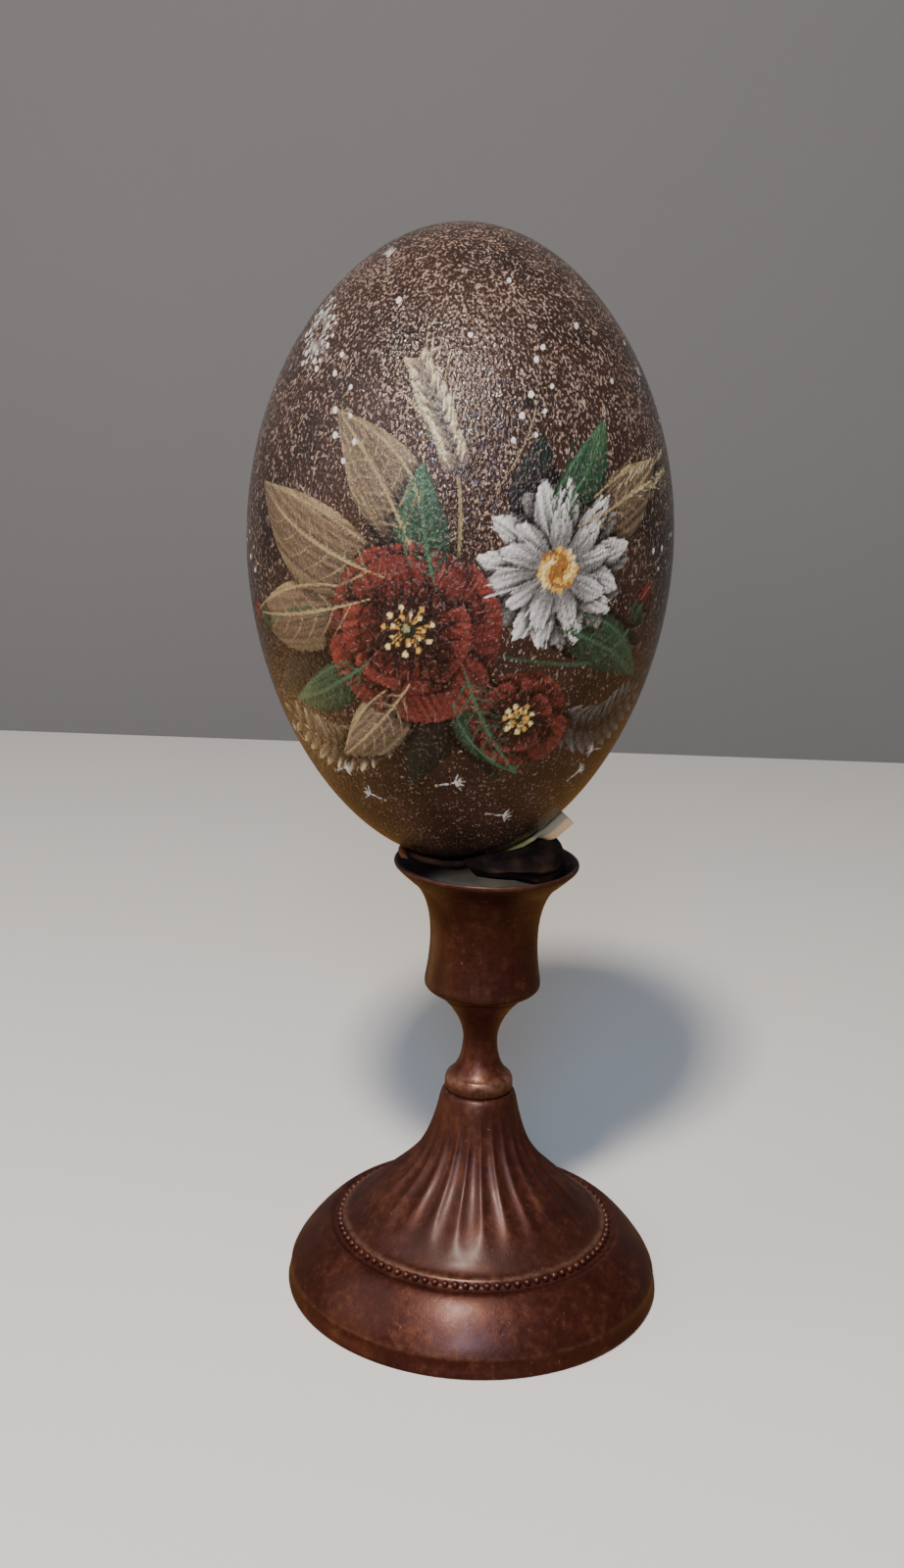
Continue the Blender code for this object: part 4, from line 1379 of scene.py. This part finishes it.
@dataclass
class Foot(Candlestick):
    """The hollow pressed foot: fluted trumpet, crest, beads and domed rim."""

    steps: int = 480
    ribs: int = 24
    rib_phase: float = 5.5
    rib_depth: float = 0.52
    rib_width: float = 1.00
    rib_top: float = 44.5
    rib_full_from: float = 36.0
    rib_full_to: float = 25.5
    rib_bottom: float = 17.2
    crest_radius: float = 30.0
    beads: int = 86
    bead_radius: float = 0.86
    bead_ring: float = 30.75
    bead_height: float = 15.1

    def profile(self) -> Profile:
        """Closed section: hole, shoulder, trumpet, crest, bead seat, dome, rest ring and inner side."""
        shoulder = [(3.3, 47.35), (7.2, 47.35), (7.7, 47.25), (8.25, 46.7)]
        slope = cubic((8.75, 45.0), (12.3, 26.9), (18.5, 28.9), (28.8, 15.5), steps=34)
        trumpet = [point for point in slope if point[0] < 27.5]
        crest = [(28.1, 16.75), (28.7, 16.4), (29.2, 16.25), (29.7, 16.25), (30.1, 16.1)]
        crest += [(30.45, 15.65), (30.6, 15.15)]
        seat = [(30.8, 14.7), (31.6, 14.25), (32.4, 14.3), (33.0, 14.65)]
        dome = cubic((33.7, 14.6), (35.8, 13.5), (40.3, 8.0), (41.45, 5.5), steps=14)
        ridge = [(41.78, 4.85), (41.95, 4.35), (41.97, 3.9), (41.95, 3.4), (42.03, 2.8)]
        ridge += [(42.2, 2.1), (42.4, 1.5), (42.5, 1.0)]
        rest = [(42.6, 0.5), (42.3, 0.0), (41.2, 0.0), (39.6, 0.0)]
        inside = [(38.4, 5.0), (33.0, 12.0), (28.5, 13.3), (20.5, 21.0), (11.5, 31.5)]
        inside += [(8.0, 41.0), (3.3, 43.0)]
        outside = shoulder[1:] + trumpet + crest + seat + dome + ridge + rest[:-1]
        return softened(outside, 1) + rest[-1:] + inside + shoulder[:1]

    def flutes(self) -> FormTree:
        """The rule that sinks the slope between narrow ribs, in scallops at its foot."""
        form = FormTree(
            "flutes",
            {
                "Ribs": self.ribs,
                "Phase": math.radians(self.rib_phase),
                "Depth": self.rib_depth * MM,
                "Rib Width": self.rib_width,
                "Top": self.rib_top * MM,
                "Full From": self.rib_full_from * MM,
                "Full To": self.rib_full_to * MM,
                "Bottom": self.rib_bottom * MM,
                "Edge": (self.crest_radius - 1.0) * MM,
                "Axis": self.axis_x,
            },
        )
        graph = form.graph
        place = graph.add("GeometryNodeInputPosition")
        normal = graph.add("GeometryNodeInputNormal")
        x = graph.add("ShaderNodeSeparateXYZ", None, {0: place}, out=0) - form.size("Axis")
        y = graph.add("ShaderNodeSeparateXYZ", None, {0: place}, out=1)
        z = graph.add("ShaderNodeSeparateXYZ", None, {0: place}, out=2)
        radius = (x * x + y * y) ** 0.5
        flat_normal = graph.vector("MULTIPLY", normal, (1.0, 1.0, 0.0))
        from_axis = graph.add("ShaderNodeCombineXYZ", None, {0: x, 1: y})
        facing = graph.vector("DOT_PRODUCT", flat_normal, from_axis, out=1)
        turn = graph.math("ARCTAN2", y, x) - form.size("Phase")
        wave = graph.math("SINE", turn * form.size("Ribs") * 0.5) ** 2
        width = form.size("Rib Width") ** 2
        between = wave / (wave + width) * (width + 1.0)
        rise = (form.size("Top") - z) / (form.size("Top") - form.size("Full From"))
        scallop = (1.0 - between) * (-1.5 * MM)
        fade = (z - form.size("Bottom") + scallop) / (form.size("Full To") - form.size("Bottom"))
        strength = graph.math("MINIMUM", rise.clamped(), fade.clamped().above(0.0, 1.0))
        outer = graph.math("GREATER_THAN", facing, 0.0) * graph.math("LESS_THAN", radius, form.size("Edge"))
        sink = strength * between * outer * form.size("Depth") * -1.0
        offset = graph.add("ShaderNodeVectorMath", {"operation": "SCALE"}, {0: normal, "Scale": sink})
        whole = Sock(graph, form.entry.outputs["Geometry"])
        form.close(graph.add("GeometryNodeSetPosition", None, {"Geometry": whole, "Offset": offset}))
        return form

    def bead_tree(self) -> FormTree:
        """The rule that strings the beads round the crest, each a little different."""
        sizes = {
            "Beads": self.beads, "Ring": self.bead_ring * MM, "Bead": self.bead_radius * MM,
            "Height": self.bead_height * MM, "Axis": self.axis_x, "Seed": 7,
        }
        form = FormTree("bead_ring", sizes)
        graph = form.graph
        inputs = {"Vertices": form.size("Beads"), "Radius": form.size("Ring")}
        ring = graph.add("GeometryNodeMeshCircle", None, inputs)
        inputs = {"Segments": 12, "Rings": 8, "Radius": form.size("Bead")}
        bead = graph.add("GeometryNodeMeshUVSphere", None, inputs)
        inputs = {2: 0.90, 3: 1.04, "Seed": form.size("Seed")}
        scale = graph.add("FunctionNodeRandomValue", {"data_type": "FLOAT"}, inputs, out=1)
        inputs = {"Points": ring, "Instance": bead, "Scale": scale}
        strung = graph.add("GeometryNodeInstanceOnPoints", None, inputs)
        move = graph.add("ShaderNodeCombineXYZ", None, {0: form.size("Axis"), 2: form.size("Height")})
        form.close(graph.add("GeometryNodeTransform", None, {"Geometry": strung, "Translation": move}))
        return form

    def build(self) -> list[bpy.types.Object]:
        """Make and dress the foot and its beads.

        Returns:
            The foot and the beads.
        """
        foot = self.flutes().run(lathed("fluted_foot", self.profile(), self.steps, self.axis_x, closed=True))
        radius, height = self.radius_height(foot)
        nothing = np.zeros_like(height)
        # Pale lines on the crest's ridge and on the ledge near the rim: partly worn metal, partly painted
        # highlight
        crest = bell(radius, 29.8, 0.7) * step(15.5, 15.9, height)
        channel = bell(radius, 31.8, 0.8) * step(15.2, 14.6, height) * 0.45
        ledge = bell(height, 4.5, 0.35) * step(41.0, 41.6, radius) * 0.12
        slope = step(29.2, 28.4, radius) * step(15.0, 15.8, height) * (0.26 + 0.16 * step(22.0, 26.0, radius))
        outer_radius = np.interp(height, [0.0, 6.0, 14.0], [42.6, 41.5, 34.6])
        under = step(14.2, 12.0, height) * step(0.6, 1.6, outer_radius - radius)
        self.marks(foot, nothing, crest * 0.45 + ledge, np.clip(channel + under * 0.6 + slope, 0.0, 1.0))
        beads = self.bead_tree().run(plain_object("bead_string", bpy.data.meshes.new("bead_string")))
        _, bead_z = self.radius_height(beads)
        # Bead tops paler and bead undersides darker: partly worn and dirty metal, partly painted highlight
        # and painted shade
        top = step(15.4, 15.9, bead_z)
        self.marks(beads, np.zeros_like(bead_z), top * 0.12, step(15.2, 14.5, bead_z) * 0.4)
        present(foot, self.copper("foot_copper"), "foot")
        present(beads, self.copper("bead_copper"), "foot")
        return [foot, beads]


@dataclass
class LeatherPad:
    """The leather under the egg, folded into a wad on the right."""

    grain: float = 0.45 * MM
    axis_x: float = AXIS * MM

    def build(self) -> bpy.types.Object:
        """Remesh the frame's solid finely, press folds into it and dress it."""
        pad = plain_object("folded_leather_pad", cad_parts["pad"].data.copy())
        edited(pad, merged)
        remesh = pad.modifiers.new("even", "REMESH")
        remesh.mode = "VOXEL"
        remesh.voxel_size = self.grain
        soften = pad.modifiers.new("soften", "SMOOTH")
        soften.factor = 0.5
        soften.iterations = 4
        pad = settled(pad)
        edited(pad, self.fold)
        fixed = {"Specular IOR Level": 0.18}
        present(pad, LeatherFinish("dark_leather_grain", fixed), "pad", 80.0)
        return pad

    def fold(self, bm: bmesh.types.BMesh) -> None:
        """Sink two long folds into the wad's face, curve its lower hem and crumple it a little."""
        bm.normal_update()
        for vertex in bm.verts:
            x, y, z = vertex.co.x - self.axis_x, vertex.co.y, vertex.co.z
            turn = math.atan2(y, x)
            low = 0.1015 + 0.0016 * math.sin(2.3 * turn + 0.6)
            groove = math.exp(-(((z - low) / 0.0007) ** 2)) * 0.9
            second = math.exp(-(((z - low - 0.0032) / 0.0005) ** 2)) * 0.5
            crumple = 0.25 * math.sin(900.0 * x + 3.0 * math.sin(500.0 * y)) * math.sin(700.0 * z + 400.0 * y)
            on_wad = min(1.0, max(0.0, (math.hypot(x, y) - 0.011) / 0.003)) * (1.0 if x > -0.010 else 0.0)
            vertex.co -= vertex.normal * 0.0005 * (on_wad * (groove + second) + 0.25 + crumple * 0.5)
            hem = min(1.0, max(0.0, (0.1035 - z) / 0.0030)) * min(1.0, max(0.0, (-0.003 - y) / 0.003))
            lift = 0.0019 * math.exp(-(((x - 0.0060) / 0.0062) ** 2))
            drop = 0.0007 * math.exp(-(((x + 0.0065) / 0.0045) ** 2))
            vertex.co.z += hem * (lift - drop)


@dataclass
class CardStrip:
    """The cream strip between the egg and the wad.

    Each station of its middle line is a place in millimetres from the stand's axis and the
    way that its face looks there.
    """

    axis_x: float = AXIS
    width: float = 3.9
    thickness: float = 1.00
    round_off: float = 0.18
    steps: int = 60
    free_from: float = 0.55
    stations: tuple = (
        ((0.00, -4.85, 102.85), (0.270, -0.200, -0.942)),
        ((1.69, -4.76, 103.46), (0.337, -0.192, -0.922)),
        ((4.77, -4.55, 104.74), (0.436, -0.178, -0.882)),
        ((7.64, -4.24, 106.28), (0.520, -0.161, -0.839)),
        ((10.30, -3.92, 108.03), (0.589, -0.144, -0.795)),
        ((11.86, -4.01, 108.56), (0.400, -0.689, -0.604)),
        ((13.42, -4.09, 109.10), (0.084, -0.949, -0.302)),
        ((16.95, -4.02, 112.59), (0.011, -0.972, -0.234)),
    )

    def section(self) -> Profile:
        """The strip's section with rounded edges, as shares across and through."""
        w, t, r = 0.5 * self.width, 0.5 * self.thickness, self.round_off
        corners = [(w, t - r), (w - r, t), (0.3 * w, t), (-0.3 * w, t), (r - w, t), (-w, t - r)]
        return softened(corners + [(-x, -y) for x, y in corners], 1, closed=True)

    def build(self) -> bpy.types.Object:
        """Sweep the section along the stations and mark its tones."""
        given = np.array(self.stations)
        knots = np.r_[0.0, np.cumsum(np.linalg.norm(np.diff(given[:, 0], axis=0), axis=1))]
        at = np.linspace(0.0, knots[-1], self.steps)
        smooth = np.ones(5) / 5.0
        middle, face = (
            np.stack(
                [
                    np.convolve(
                        np.pad(np.interp(at, knots, given[:, k, c]), 2, "reflect", reflect_type="odd"),
                        smooth,
                        "valid",
                    )
                    for c in range(3)
                ],
                axis=1,
            )
            for k in (0, 1)
        )
        run = np.gradient(middle, axis=0)
        run /= np.linalg.norm(run, axis=1)[:, None]
        across = np.cross(run, face)
        across /= np.linalg.norm(across, axis=1)[:, None]
        through = np.cross(across, run)
        section = np.array(self.section())
        rings = middle[:, None] + across[:, None] * section[None, :, :1]
        rings = rings + through[:, None] * section[None, :, 1:]
        rings[:, :, 0] += self.axis_x
        count = len(section)
        faces = [
            (
                i * count + k,
                i * count + (k + 1) % count,
                (i + 1) * count + (k + 1) % count,
                (i + 1) * count + k,
            )
            for i in range(self.steps - 1)
            for k in range(count)
        ]
        faces += [tuple(range(count)), tuple(range((self.steps - 1) * count, self.steps * count))]
        mesh = bpy.data.meshes.new("cream_strip")
        mesh.from_pydata((rings.reshape(-1, 3) * MM).tolist(), [], faces)
        strip = plain_object("cream_strip", mesh)
        share = np.repeat(np.linspace(0.0, 1.0, self.steps), count)
        side = np.tile(section[:, 0] / (0.5 * self.width), self.steps)
        free = step(self.free_from - 0.04, self.free_from + 0.06, share)
        give_values(strip, "cut", free * step(-0.10, 0.10, side))
        give_values(strip, "aged", 1.0 - free)
        edited(strip, merged)
        card = CardFinish("cream_card_fibre", {"Specular IOR Level": 0.3})
        return present(strip, card, "shim_strip", 60.0)


@dataclass
class Studio:
    """Floor, backdrop, lights and the camera of the photograph."""

    eye: Colour = (5.1, -350.16, 206.59)
    yaw: float = -1.33
    pitch: float = 14.2
    roll: float = 1.79
    lens: float = 38.25

    def camera(self) -> bpy.types.Object:
        """Stand the camera where the photograph was taken from."""
        yaw, pitch, roll = (math.radians(a) for a in (self.yaw, self.pitch, self.roll))
        ahead = Vector((math.sin(yaw) * math.cos(pitch), math.cos(yaw) * math.cos(pitch), -math.sin(pitch)))
        right = Vector((math.cos(yaw), -math.sin(yaw), 0.0))
        above = right.cross(ahead)
        across = right * math.cos(roll) + above * math.sin(roll)
        upward = above * math.cos(roll) - right * math.sin(roll)
        data = bpy.data.cameras.new("photo_camera")
        data.sensor_fit = "AUTO"
        data.sensor_width = 36.0
        data.lens = self.lens
        data.clip_start = 0.01
        camera = bpy.data.objects.new("photo_camera", data)
        turned = Matrix((across, upward, -ahead)).transposed().to_4x4()
        camera.matrix_world = Matrix.Translation(Vector(self.eye) * MM) @ turned
        bpy.context.scene.collection.objects.link(camera)
        bpy.context.scene.camera = camera
        return camera

    def light(self, name: str, place: Colour, aim: Colour, size: float, power: float, colour: Colour) -> None:
        """A square soft light.

        Args:
            name: its name.
            place: where it hangs, in metres.
            aim: what it points at.
            size: its side.
            power: in watts.
            colour: its tint.
        """
        data = bpy.data.lights.new(name, "AREA")
        data.size = size
        data.energy = power
        data.color = colour
        lamp = bpy.data.objects.new(name, data)
        lamp.location = place
        lamp.rotation_mode = "QUATERNION"
        lamp.rotation_quaternion = (Vector(aim) - Vector(place)).to_track_quat("-Z", "Y")
        lamp.visible_camera = False
        bpy.context.scene.collection.objects.link(lamp)

    def sheet(self, name: str, corners: Iterable[Colour], tone: Colour) -> bpy.types.Object:
        """A flat stage surface through four corners."""
        mesh = bpy.data.meshes.new(name)
        mesh.from_pydata([tuple(c) for c in corners], [], [(0, 1, 2, 3)])
        obj = plain_object(name, mesh)
        obj.data.materials.append(StageFinish(name, {"Roughness": 0.9}, tone).material())
        return obj

    def build(self) -> None:
        """Set the whole stage."""
        self.camera()
        back, side, front = 0.55, 3.0, -2.5
        ground = [(-side, front, 0.0), (side, front, 0.0), (side, back, 0.0), (-side, back, 0.0)]
        floor = self.sheet("floor", ground, (0.82, 0.81, 0.79))
        floor.visible_glossy = False
        wall = [(-side, back, 0.0), (side, back, 0.0), (side, back, 2.0), (-side, back, 2.0)]
        self.sheet("backdrop", wall, (0.16, 0.16, 0.16))
        egg, mouth = (0.0, 0.0, 0.17), (0.0, 0.0, 0.10)
        self.light("key", (-0.12, -0.56, 0.86), egg, 0.10, 12.8, (1.0, 0.88, 0.77))
        self.light("window", (-0.03, -1.05, 0.70), egg, 0.24, 5.9, (0.36, 0.61, 1.0))
        self.light("low", (-0.30, -1.15, 0.50), mouth, 0.4, 2.2, (1.0, 0.90, 0.78))
        self.light("left", (-1.0, -0.25, 0.70), egg, 0.8, 2.7, (0.90, 0.92, 1.0))
        self.light("glow", (-0.75, -0.25, 0.04), egg, 0.45, 0.85, (1.0, 0.60, 0.26))
        self.light("table", (-0.24, 0.14, 0.004), (-0.24, 0.14, 1.0), 0.18, 0.13, (1.0, 0.60, 0.26))
        self.light("right", (0.9, -0.2, 0.9), egg, 0.8, 0.12, (1.0, 0.93, 0.84))
        self.room()

    def room(self) -> None:
        """A grey room above a warm table top, which only reflections see."""
        world = bpy.data.worlds.new("room")
        world.use_nodes = True
        world.node_tree.nodes.clear()
        graph = Graph(world.node_tree)
        seen = graph.add("ShaderNodeTexCoord", None, None, "Generated")
        up = graph.add("ShaderNodeSeparateXYZ", None, {0: seen}, out=2)
        tone = graph.blend(up.above(-0.42, -0.12), (0.62, 0.312, 0.094), (0.19, 0.184, 0.174))
        light = graph.add("ShaderNodeBackground", None, {"Color": tone, "Strength": 0.55})
        graph.add("ShaderNodeOutputWorld", None, {"Surface": light})
        bpy.context.scene.world = world


def main() -> None:
    """Build every piece in order."""
    logging.basicConfig(level=logging.INFO, format="%(name)s %(message)s")
    Studio().build()
    PaintedEgg().build()
    CandleCup().build()
    Stem().build()
    Foot().build()
    LeatherPad().build()
    CardStrip().build()


if __name__ == "__main__":
    main()
